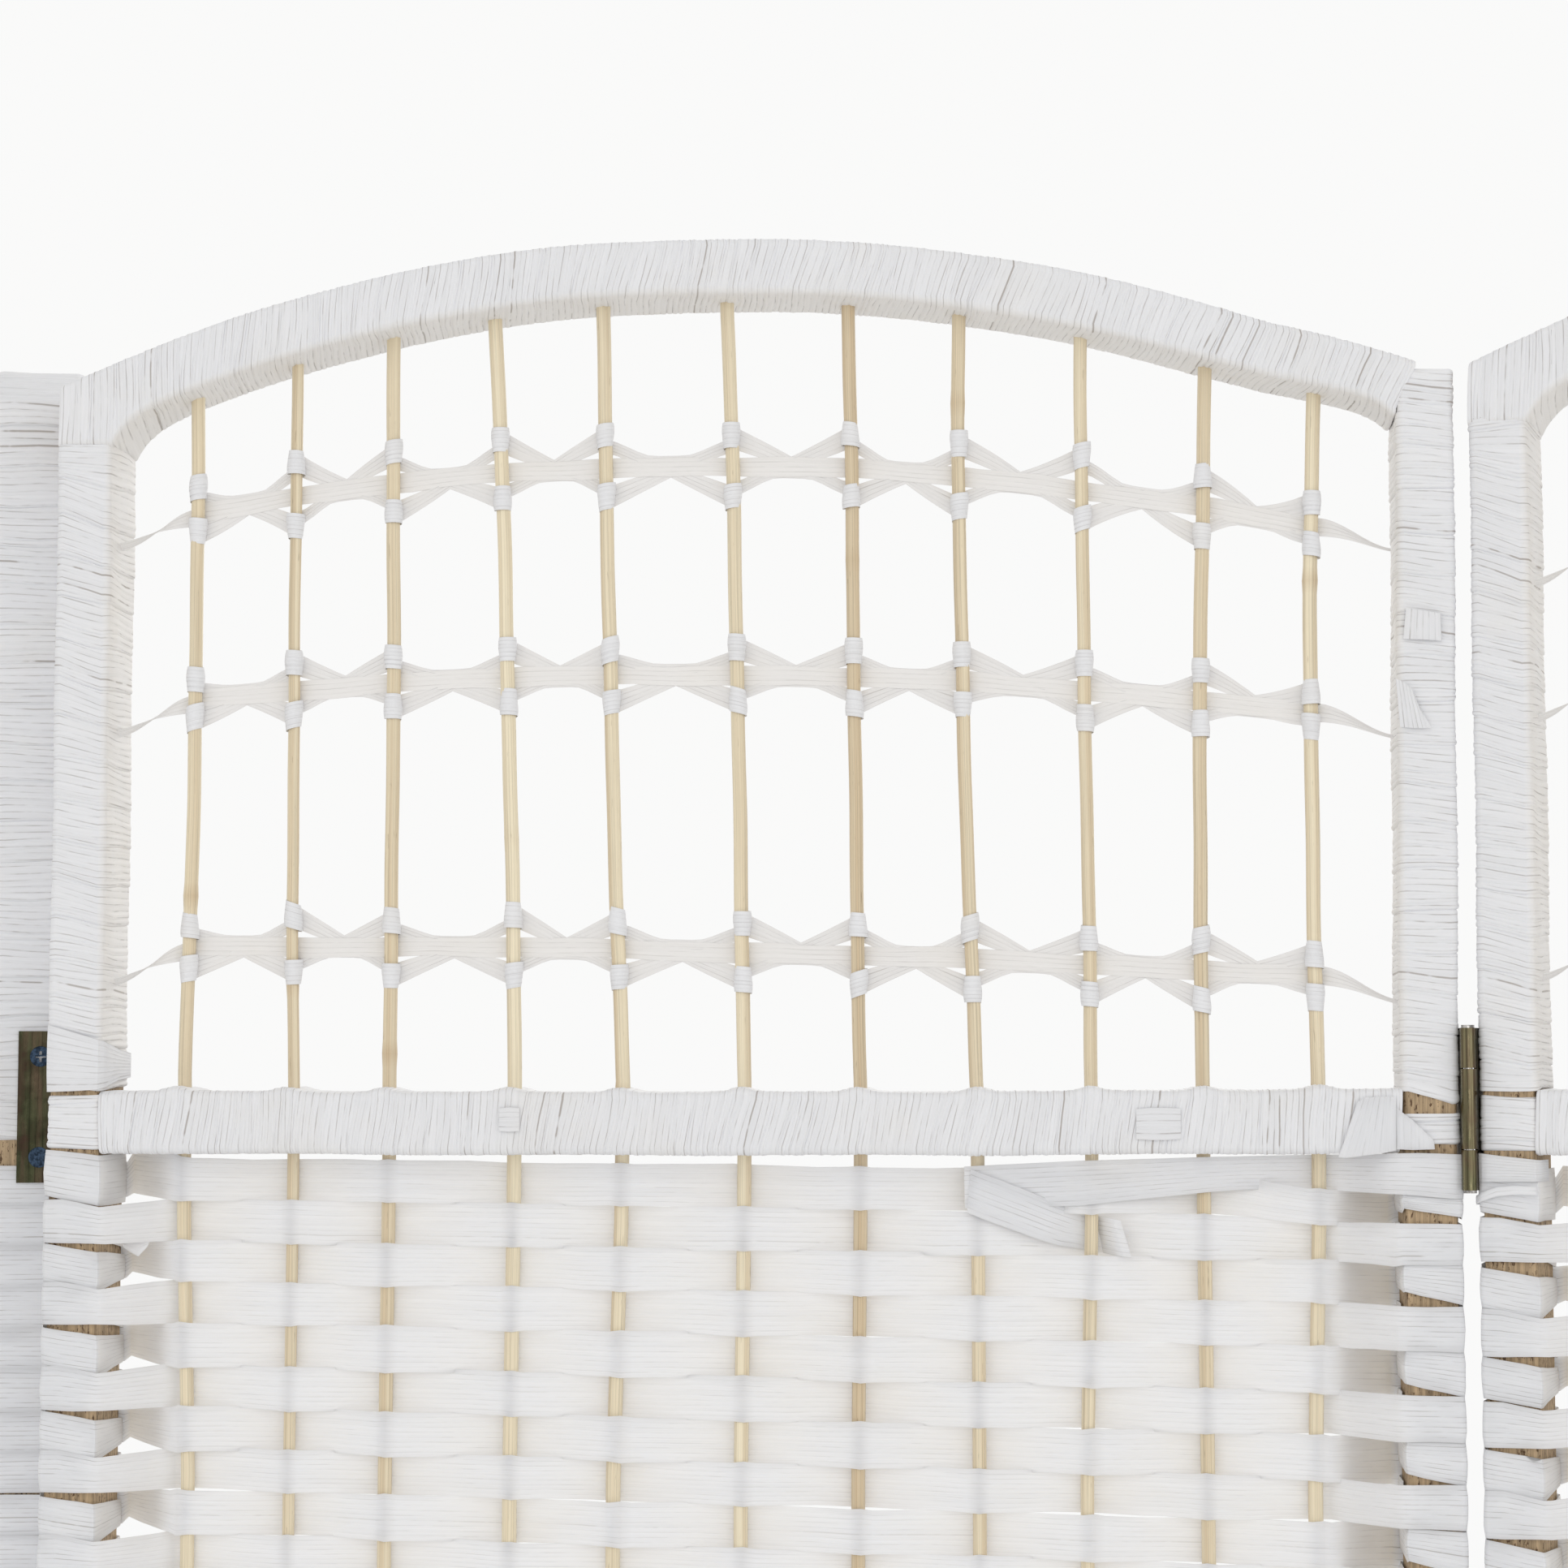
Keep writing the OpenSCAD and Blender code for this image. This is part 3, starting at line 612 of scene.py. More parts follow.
def add_winding(context, p, name, turns, sides, upright, seed, lean, swell=None, node=None, inner_steps=2,
                depth=HALF_D, start=0.0, inward=0, skew=0.0, band=0):
    """Adds strand wound round a bar, as a sleeve with an outer face of strands and a plain inner face.

    turns are the places of the gaps between strands along the bar, and upright says that the bar is a post.
    sides gives the low and high limits of the section at places along it, lean is the strands' slope at
    places along the bar, and swell is an extra rise of the surface. start is where the count of strands in
    the UV map begins. inward is 1 or -1 where the bar's high or low side faces the inside of the panel. skew
    is the strands' slope over the bar's depth, and band counts the strands that were wound on together, if
    any.
    """
    rng = np.random.default_rng(seed)
    # A strand's outer face: places across it, and how far each has dropped towards the gap
    steps = (0.0, 0.16, 0.5, 0.84)
    drops = (1.0, 0.30, 0.0, 0.30)
    count = len(turns) - 2
    ring = ring_template()
    gap_depth = context.scene.screen_sizes.strand_gap * (0.45 + 1.1 * rng.random(count + 2) ** 2)
    proud = STRAND_PROUD * (rng.random(count + 2) - 0.5)
    if band:
        # Strands laid on together lie over the last strand of the group below
        place = (np.arange(count + 2) + int(band * rng.random())) % band
        proud = proud + LAID_STEP * (0.5 - place / (band - 1))
        gap_depth = np.where(place == 0, gap_depth + LAID_STEP, gap_depth * 0.8)
    jitter = rng.random(count + 2) * FULL_TURN
    outer = [(j, f, -gap_depth[j] * d + proud[j] * (1 - d)) for j in range(count)
             for f, d in zip(steps, drops)] + [(count, 0.0, -gap_depth[count])]
    number, share, rise = (np.array(column) for column in zip(*outer))
    pitch = np.diff(turns)
    first = turns[number] + share * pitch[number]
    after = turns[number + 1] + share * pitch[np.minimum(number + 1, len(pitch) - 1)]
    back = np.linspace(count, 0, inner_steps + 1)
    cells = len(first) + len(back)
    first, after = (np.concatenate((face, np.interp(back + step, np.arange(len(turns)), turns), face[:1]))
                    for step, face in enumerate((first, after)))
    rise = np.concatenate((rise, np.full(len(back), -SLEEVE_T), rise[:1]))
    counted = np.concatenate((number + share, back, [0.0]))
    jitter = np.concatenate((jitter[number], np.zeros(len(back)), jitter[:1]))
    outside = np.concatenate((np.ones(len(number)), np.zeros(len(back)), [1.0]))
    first_block = rng.random() * FULL_TURN
    # How far round the bar each point of the ring lies, on a section of middling size
    low, high = sides((turns[:1] + turns[-1:]) / 2)
    spread = np.stack((ring[:, 0] * (high - low - 2 * CORNER) + ring[:, 2] * CORNER,
                       ring[:, 1] * 2 * (depth - CORNER) + ring[:, 3] * CORNER), axis=1)
    arc = np.concatenate(([0.0], np.cumsum(np.linalg.norm(np.diff(spread, axis=0), axis=1))))

    def shape(strip, along, k):
        high_share, back_share, out_n, out_y = ring[k].T
        girth = arc[k] / arc[-1]
        base = first[along] + (after[along] - first[along]) * girth
        base = base + outside[along] * np.sin(np.pi * girth) * (
            STRAND_SWING * np.sin(girth * 19 + jitter[along])
            + TURN_SWING * np.sin(girth * 11 + base / (9 * MM) + first_block))
        low, high = sides(base)
        middle = (low + high) / 2
        slope = lean(base)
        fade = smooth((base - turns[0]) / (30 * MM)) * smooth((turns[-1] - base) / (30 * MM))
        level = -depth + CORNER + back_share * 2 * (depth - CORNER)
        base = base + skew * fade * (level + out_y * CORNER)
        for _ in range(2):
            s = base + slope * (low + high_share * (high - low) - middle)
            low, high = sides(s)
        up = rise[along] + outside[along] * 0.18 * MM * np.sin(girth * FULL_TURN * 3 + s / (13 * MM))
        if swell:
            up = up + outside[along] * swell(s, out_n)
        n = low + CORNER + high_share * (high - low - 2 * CORNER) + out_n * (CORNER + up)
        y = level + out_y * (CORNER + up)
        uv = (girth * arc[-1], counted[along] + girth + start)
        # Painted light: faces turned to the inside of the panel are painted a warm pale tone
        return (n, y, s) if upright else (s, y, n), uv, {"cream_and_painted_light": np.clip(out_n * inward, 0, 1) * 0.35}

    add_strips(context, p, name, "paper_strand", 1, cells, len(ring) - 1, shape, node)


class SCREEN_OT_posts(bpy.types.Operator):
    """Bare wooden posts with eased edges, and the cores of the arch and the mid rail"""

    bl_idname = "screen.posts"
    bl_label = "Posts and arched cores"

    def execute(self, context):
        inset = WRAP_T + 0.1 * MM
        for p in PANELS:
            self.add_post(context, p, "left", POST_LOW, POST_HIGH, LEFT_COVER)
            self.add_post(context, p, "right", RIGHT_POST_LOW, RIGHT_POST_HIGH,
                          RIGHT_COVER + (RIGHT_TOP_DROP if p == 3 else 0))
            self.add_core(context, p, "arch_core", "top_rail",
                          lambda x: (arch_under(p, x) + inset, arch_z(p, x, ARCH_R) - inset))
            self.add_core(context, p, "mid_rail_core", "mid_rail",
                          lambda x: (MID_LOW.z + mid_sag(p, x), MID_HIGH.z + mid_sag(p, x)))
            refinish(context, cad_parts[f"panel_{p}_bottom_rail"], "bare_wood")
        return {"FINISHED"}

    def add_post(self, context, p, side, low, high, cover):
        high = high - Vector((0, 0, cover))
        centre = (low + high) / 2
        bm = bmesh.new()
        bmesh.ops.create_cube(bm, size=1.0)
        bmesh.ops.scale(bm, vec=high - low, verts=bm.verts)
        bmesh.ops.translate(bm, vec=(centre.x - WRAP_LOW.x, 0, centre.z), verts=bm.verts)
        bmesh.ops.bevel(bm, geom=bm.edges, offset=1.2 * MM, offset_type="OFFSET", segments=3, profile=0.5,
                        affect="EDGES", material=-1)
        if p == 3 and side == "right":
            bmesh.ops.bisect_plane(bm, geom=bm.verts[:] + bm.edges[:] + bm.faces[:], dist=MERGE,
                                   plane_co=(0, 0, MID_TOP), plane_no=(0, 0, 1))
            for vert in bm.verts:
                vert.co.x += POST_LEAN * max(0.0, (vert.co.z - MID_TOP) / (POST_H - MID_TOP))
        mesh = bpy.data.meshes.new(f"panel_{p}_{side}_bare_post")
        write_smooth(bm, mesh)
        add_piece(context, p, mesh, "bare_wood", f"{side}_post")

    def add_core(self, context, p, name, node, limits):
        around, cells = 8, 44
        corner_low = np.array([0, 0, 0, 1, 1, 1, 1, 0, 0])
        corner_back = np.array([0, 0, 1, 1, 1, 1, 0, 0, 0])

        def shape(strip, along, k):
            x = LEFT_IN + (RIGHT_IN - LEFT_IN) * np.clip((along - 1) / (cells - 2), 0, 1)
            ends = (along == 0) | (along == cells)
            low, high = limits(x)
            z = np.where(ends, (low + high) / 2, low + (high - low) * corner_low[k])
            y = np.where(ends, 0.0, (corner_back[k] * 2 - 1) * POST_D / 2)
            return (x, y, z), (0 * x, 0 * x), {}

        add_strips(context, p, name, "bare_wood", 1, cells, around, shape, node)


class SCREEN_OT_rail_windings(bpy.types.Operator):
    """Paper strand wound round the arched top rail, the mid rail and the bottom rail"""

    bl_idname = "screen.rail_windings"
    bl_label = "Rail windings"

    def execute(self, context):
        for p in PANELS:
            self.add_arch(context, p)
            self.add_straight(context, p, "mid_rail", MID_BOTTOM, MID_TOP, mid_sag)
            self.add_straight(context, p, "bottom_rail", FOOT_RAIL_BOTTOM, FOOT_RAIL_TOP, lambda p, x: 0 * x)
        return {"FINISHED"}

    def add_arch(self, context, p):
        corner_low = arch_z(p, POST_CENTRE, ARCH_R) - ARCH_START

        def sides(x):
            inside = np.clip(x, 0, PANEL_W)
            under = arch_under(p, inside)
            # The winding fills the inner corners beside the posts a little
            left_gusset = 7 * MM * np.exp(-np.clip(x - LEFT_IN, 0, None) / (4.5 * MM))
            right_gusset = 2.5 * MM * np.exp(-np.clip(RIGHT_IN - x, 0, None) / (3 * MM))
            cover = smooth((x - (LEFT_IN - 3 * MM)) / (3 * MM))
            low = corner_low + (under - left_gusset - right_gusset - corner_low) * cover
            return low, arch_z(p, inside, ARCH_R)

        def lean(x):
            # Degrees at shares of the panel's width
            share = np.clip(x / PANEL_W, 0, 1)
            return np.tan(np.radians(np.interp(share, (0, 0.12, 0.5, 0.75, 1), (0, 2, 11, 16, 17))))

        turns = gap_places(100 + p, -0.3 * MM, RIGHT_IN + 1.5 * MM, context.scene.screen_sizes.strand_w)
        add_winding(context, p, "arch_winding", turns, sides, False, 200 + p, lean, node="rail_wraps",
                    inner_steps=110, depth=HALF_D + 0.25 * MM, inward=-1, skew=-0.15)

    def add_straight(self, context, p, name, low, high, sag):
        def sides(x):
            return low + sag(p, x), high + sag(p, x)

        def lean(x):
            # Strands stand nearly upright at the rail's ends
            steep = smooth((x - LEFT_IN) / (14 * MM)) * smooth((RIGHT_IN - x) / (14 * MM)) * 0.8 + 0.2
            return np.tan(np.radians((7 + 3 * np.sin(x / (47 * MM) + p)) * steep))

        def swell(x, up):
            # The rail's upper side humps at each rod
            near = np.min(np.abs(x[:, None] - ROD_X[None, :]), axis=1)
            return np.clip(up, 0, 1) * 1.3 * MM * np.exp(-(near / (4 * MM)) ** 2)

        turns = gap_places(300 + p, LEFT_IN - 1.1 * MM, RIGHT_IN - 2.8 * MM,
                           context.scene.screen_sizes.strand_w)
        add_winding(context, p, f"{name}_winding", turns, sides, False, 400 + p, lean, swell,
                    inner_steps=12, depth=HALF_D + 0.2 * MM)


class SCREEN_OT_post_windings(bpy.types.Operator):
    """Paper strand wound round the posts above the weave, beside the mid rail and below the weave"""

    bl_idname = "screen.post_windings"
    bl_label = "Post windings"

    def execute(self, context):
        stretches = (
            ("left", "top", MID_TOP - 1.5 * MM, POST_H - LEFT_WOUND),
            ("left", "mid", MID_BOTTOM - 0.5 * MM, MID_TOP - 5.6 * MM),
            ("left", "foot", WRAP_LOW.z, WEAVE_LOW.z - 1 * MM),
            ("right", "top", MID_TOP - 3.6 * MM, POST_H - 6.2 * MM),
            ("right", "mid", MID_BOTTOM + 1.4 * MM, MID_TOP - 10.5 * MM),
            ("right", "foot", WRAP_LOW.z, WEAVE_LOW.z - 1 * MM),
        )
        for p in PANELS:
            for number, (side, part, low, high) in enumerate(stretches):
                if side == "right" and part != "foot" and p != 3:
                    high += 5 * MM if part == "mid" else RIGHT_TOP_DROP
                self.add_stretch(context, p, number, side, part, low, high)
        return {"FINISHED"}

    def add_stretch(self, context, p, number, side, part, low, high):
        left = side == "left"
        edges = (0.0, LEFT_IN) if left else (RIGHT_IN, PANEL_W)
        outwards = POST_LEAN if p == 3 and not left else 0.0

        def sides(z):
            shift = outwards * np.clip((z - MID_TOP) / (POST_H - MID_TOP), 0, 1)
            return edges[0] + shift, edges[1] + shift

        def lean(z):
            steep = smooth((z - low) / (12 * MM)) * smooth((high - z) / (14 * MM))
            if left:
                return -np.tan(np.radians(1 + (11 + 3 * np.sin(z / (31 * MM) + number)) * steep))
            # The lowest strands of the right post's upper stretch lean more than the rest
            hung = 12 * smooth((low + 14 * MM - z) / (14 * MM)) if part == "top" else 0.0
            return -np.tan(np.radians(2 + (2 + np.sin(z / (31 * MM))) * steep + hung))

        seed = 500 + 10 * p + number
        turns = gap_places(seed, low, high, context.scene.screen_sizes.strand_w * 1.12)
        add_winding(context, p, f"{side}_post_winding_{part}", turns, sides, True, seed, lean,
                    node=None if number else "post_wraps", start=30.0 * number,
                    inward=1 if left else -1, band=LAID_TOGETHER)


# Woven bands

# Depth at which bands lie in front of the posts and behind them, and how far they stand out over a rod
BAND_NEAR = -HALF_D - 0.57 * MM
BAND_FAR = HALF_D + 0.25 * MM
BAND_REACH = ROD_R + 0.35 * MM


def band_end(inner, outer):
    """Stations of a band's end round one post, from its inner face round its far side to its near side.

    A station holds a place (x, y), what it is and a share: over the far side and the near side the share
    runs from the outer to the inner edge, and over the faces from the far side to the near side.
    """
    side = 1 if inner > outer else -1
    far, near = BAND_FAR, BAND_NEAR
    turn = 1.4 * MM
    cut = turn * (1 - math.sqrt(0.5))
    edge, face = outer - side * 0.25 * MM, inner + side * 0.1 * MM
    wide = abs(inner - edge)
    stations = [(face, far - turn + (near - far + 2 * turn) * t, "tuck", t) for t in (0.62, 0.41, 0.2, 0)]
    stations += [(inner - side * cut, far - cut, "slant", 1.0)]
    stations += [(edge + side * wide * t, far, "slant", t) for t in (0.7, 0.35)]
    stations += [
        (edge + side * turn, far, "slant", 0.05), (edge + side * cut, far - cut, "slant", 0.0),
        (edge, far - turn, "face", 0.0), (edge, 0.0, "face", 0.5), (edge, near + turn, "face", 1.0),
        (edge + side * cut, near + cut, "front", 0.0), (edge + side * turn, near, "front", 0.1)]
    return stations + [(edge + side * wide * t, near, "front", t) for t in (0.35, 0.6, 0.9)]


def band_plan():
    """Stations of a whole band whose straight ends lie on the near side of the posts.

    In the weave a station is a rod or a span, and its share runs from left to right over the span.
    """
    corners = [(x, BAND_REACH if i % 2 == 0 else -BAND_REACH) for i, x in enumerate(ROD_X)]
    corners = [(LEFT_IN, BAND_NEAR)] + corners + [(RIGHT_IN, BAND_NEAR)]
    stations = band_end(LEFT_IN, 0.0)
    for number, ((x0, y0), (x1, y1)) in enumerate(zip(corners, corners[1:])):
        stations.append((x0, y0, "rod" if number else "front", 1.0))
        for share in (0.1, 0.37, 0.63, 0.9):
            way = min(max((share - 0.1) / 0.8, 0), 1)
            stations.append((x0 + (x1 - x0) * share, y0 + (y1 - y0) * way, "span", share))
    stations.append((RIGHT_IN, BAND_NEAR, "front", 1.0))
    return stations + band_end(RIGHT_IN, PANEL_W)[::-1]


def band_limits(x, kind, share):
    """Top and bottom of a band at one station, as shares of the pitch below its row's upper line."""
    left = x < HALF_W
    if kind == "slant" and left:
        return -0.08 - 0.20 * share, -1.0 - 0.20 * share
    if kind == "slant":
        return -0.03 + 0.03 * share, -0.95 + 0.25 * share
    if kind == "tuck":
        return (-0.28 - 0.22 * share, -1.20 + 0.3 * share) if left else (0.0, -0.70 + 0.05 * share)
    if kind == "front" and left:
        return -0.17 * max(share - 0.35, 0) / 0.65, -1.0
    if kind == "span" and x < ROD_X[0]:
        return -0.17 * (1 - share), -1.0
    return 0.0, -1.0


def band_tints(x, y, kind, share, across, forward):
    """How warm and pale a band is painted, as painted light, and how lined it is, at places with those
    stations.

    forward is 1 for the bands whose ends lie in front of the posts, and -1 for the others.
    """
    end_span = (kind == "span") & ((x < ROD_X[0]) | (x > ROD_X[-1]))
    from_post = np.where(x < HALF_W, share, 1 - share)
    behind = np.clip(0.5 + y * forward / (2 * ROD_R), 0, 1)
    # Painted light: band ends that run behind a post grow warm and pale towards the post, as if lit through the
    # paper, bands that pass behind a rod a little, and tucks on a post's inner face too
    cream_and_painted_light = np.where(end_span & (forward < 0), np.clip(1.15 - 1.3 * from_post, 0, 1), 0.32 * behind)
    cream_and_painted_light = np.where(kind == "tuck", 0.35, np.where(end_span & (forward > 0), 0.1, cream_and_painted_light))
    on_post = (kind == "slant") | (kind == "front") | (kind == "face")
    creased = smooth((share - 0.30 - 0.36 * across) / 0.22)
    lines = np.where(kind == "span", 0.10 + 0.30 * np.where(y * forward < 0, 1, creased), 0.36)
    lines = np.where(end_span, 0.25 + 0.3 * (1 - from_post), lines)
    return np.where(on_post, 0.0, cream_and_painted_light), np.where(on_post, 1.0, np.where(kind == "tuck", 0.6, lines))


# How uneven the bands are: the wander of their edges, the offset of a whole edge, the slack over a rod, the
# fall of their lower edges, and the ripple and the hollow of their faces
EDGE_WANDER = 0.38 * MM
EDGE_OFFSET = 0.9 * MM
ROD_SLACK = 0.35 * MM
EDGE_FALL = 0.35 * MM
FACE_RIPPLE = 0.15 * MM
FACE_HOLLOW = 0.25 * MM

# How far rows lie above their even heights: counted rows, and millimetres at a panel's left and right
ROW_DRIFT = {
    1: ((0, 20, 120), (-1.0, 1.0, 0), (1.0, -1.5, 0)),
    2: ((0, 30, 120), (-1.5, -1.0, 0), (-1.0, 1.0, 0)),
    3: ((0, 9, 30, 120), (1.5, 3.8, 4.2, 0), (-2.5, -2.5, -2.5, 0)),
    4: ((0, 9, 30, 120), (-1.6, -4.8, -4.0, 0), (0, -1.0, -1.0, 0)),
}


def run_along(places):
    """Distance run at each place of a path, and the path's direction there."""
    run = np.concatenate(([0.0], np.cumsum(np.linalg.norm(np.diff(places, axis=0), axis=1))))
    tangent = np.gradient(places, np.maximum(run, np.arange(len(run)) * MERGE), axis=0)
    return run, tangent / np.linalg.norm(tangent, axis=1)[:, None]


class SCREEN_OT_woven_bands(bpy.types.Operator):
    """Wide paper bands woven in and out of the rods and turned round the posts"""

    bl_idname = "screen.woven_bands"
    bl_label = "Woven bands"

    def execute(self, context):
        for p in PANELS:
            self.add_weave(context, context.scene.screen_sizes, p)
        return {"FINISHED"}

    def add_weave(self, context, sizes, p):
        rng = np.random.default_rng(700 + p)
        stations = band_plan()
        plan = np.array([(x, y) for x, y, _, _ in stations])
        kinds = np.array([kind for _, _, kind, _ in stations])
        shares = np.array([share for _, _, _, share in stations])
        run, tangent = run_along(plan)
        top_z = WEAVE_HIGH.z
        rows = round((top_z - WEAVE_LOW.z) / sizes.band_pitch)
        pitch = (top_z - WEAVE_LOW.z) / rows
        top, bottom = np.array([band_limits(x, kind, share) for x, _, kind, share in stations]).T * pitch
        left_rise, right_rise = (np.interp(np.arange(rows), ROW_DRIFT[p][0], drift) * MM
                                 for drift in ROW_DRIFT[p][1:])
        cells = len(stations) - 1
        bulge = np.array([0, 0.8, 1.0, 0.8, 0, -0.5, -0.5, -0.5, 0]) * sizes.band_t / 2
        # How far each row's two edges lie off, and how much narrower or wider the row is beside a post
        uneven = rng.random((rows, 2)) - 0.5
        short = rng.random(rows) - 0.5

        def shape(row, along, k):
            forward = np.where(row % 2 == 0, -1.0, 1.0)
            share, kind, way = EIGHT_ACROSS[k], kinds[along], shares[along]
            x, y = plan[along].T
            on_rod = (kind == "rod") & (y * forward < 0)
            line = top_z - row * pitch + np.interp(x / PANEL_W, (0.05, 0.95), (0, 1)) * right_rise[row]
            line = line + np.interp(x / PANEL_W, (0.05, 0.95), (1, 0)) * left_rise[row]
            loose = np.where(on_rod, ROD_SLACK, 0.0)
            upper, lower = top[along], bottom[along]
            # The first row lies straight over the left post, and rows behind that post start higher
            turned = np.where((kind == "slant") | (kind == "face"), way, 1.0)
            first = (row == 0) & (x < LEFT_IN + MM) & (kind != "front")
            upper = np.where(first, (0.20 - 0.13 * turned) * pitch, upper)
            lower = np.where(first, (-0.89 - 0.25 * turned) * pitch, lower)
            hidden = (kind == "span") & (x < ROD_X[0]) & (forward < 0)
            upper = np.where(hidden & (row == 0), 0.10 * pitch, upper)
            lower = np.where(hidden, (0.16 * short[row] - 0.85 - 0.15 * way) * pitch, lower)
            hidden = ((kind == "span") & (x > ROD_X[-1])) | ((kind == "front") & (x > HALF_W))
            lower = np.where(hidden & (forward < 0), (-1.0 - 0.24 * way) * pitch, lower)
            if p == 3:
                # The first rows hang lower beside the loose band at the right
                droop = smooth((x - ROD_X[-2]) / (ROD_X[-1] - ROD_X[-2])) * (row < 2)
                upper = upper - droop * np.where(row == 0, 4.6, 1.4) * MM
                lower = lower - droop * np.where(row == 0, 1.8, 0.4) * MM * (x < RIGHT_IN)
            high = line + upper + loose + EDGE_WANDER * wave(710 + p, row, run[along], 90 * MM)
            high = high + uneven[row, 0] * EDGE_OFFSET
            low = line + lower - EDGE_FALL - loose + EDGE_WANDER * wave(720 + p, row, run[along], 80 * MM)
            low = low + uneven[row, 1] * EDGE_OFFSET
            slanted = ((kind == "slant") | (kind == "tuck")) & (x > HALF_W)
            low = low + np.where(slanted, 0.16 * pitch * short[row] * way, 0)
            ripple = FACE_RIPPLE * wave(730 + p, row * 9 + k % 9, run[along], 37 * MM) * (k % 4 > 0)
            out = np.where((along == 0) | (along == cells), 0.0, bulge[k] + ripple)
            out = out - FACE_HOLLOW * (2 * share - 1) ** 2
            # A tuck that starts in front runs on to the back of the post
            back = HALF_D - 1.15 * MM
            y = np.where((kind == "tuck") & (forward < 0), back + (y - back) / 0.62, y)
            cream_and_painted_light, lines = band_tints(x, y, kind, way, share, forward)
            x = x + tangent[along, 1] * out
            y = (y - tangent[along, 0] * out) * forward
            uv = (run[along], row * 13.0 + share * sizes.band_strands)
            # Painted shade: the grey tint marks a rod seen through the band in front of it
            return (x, y, low + (high - low) * share), uv, {"shade": on_rod, "cream_and_painted_light": cream_and_painted_light, "lines": lines}

        add_strips(context, p, "woven_bands", "paper_bands", rows, cells, 8, shape, "weave")


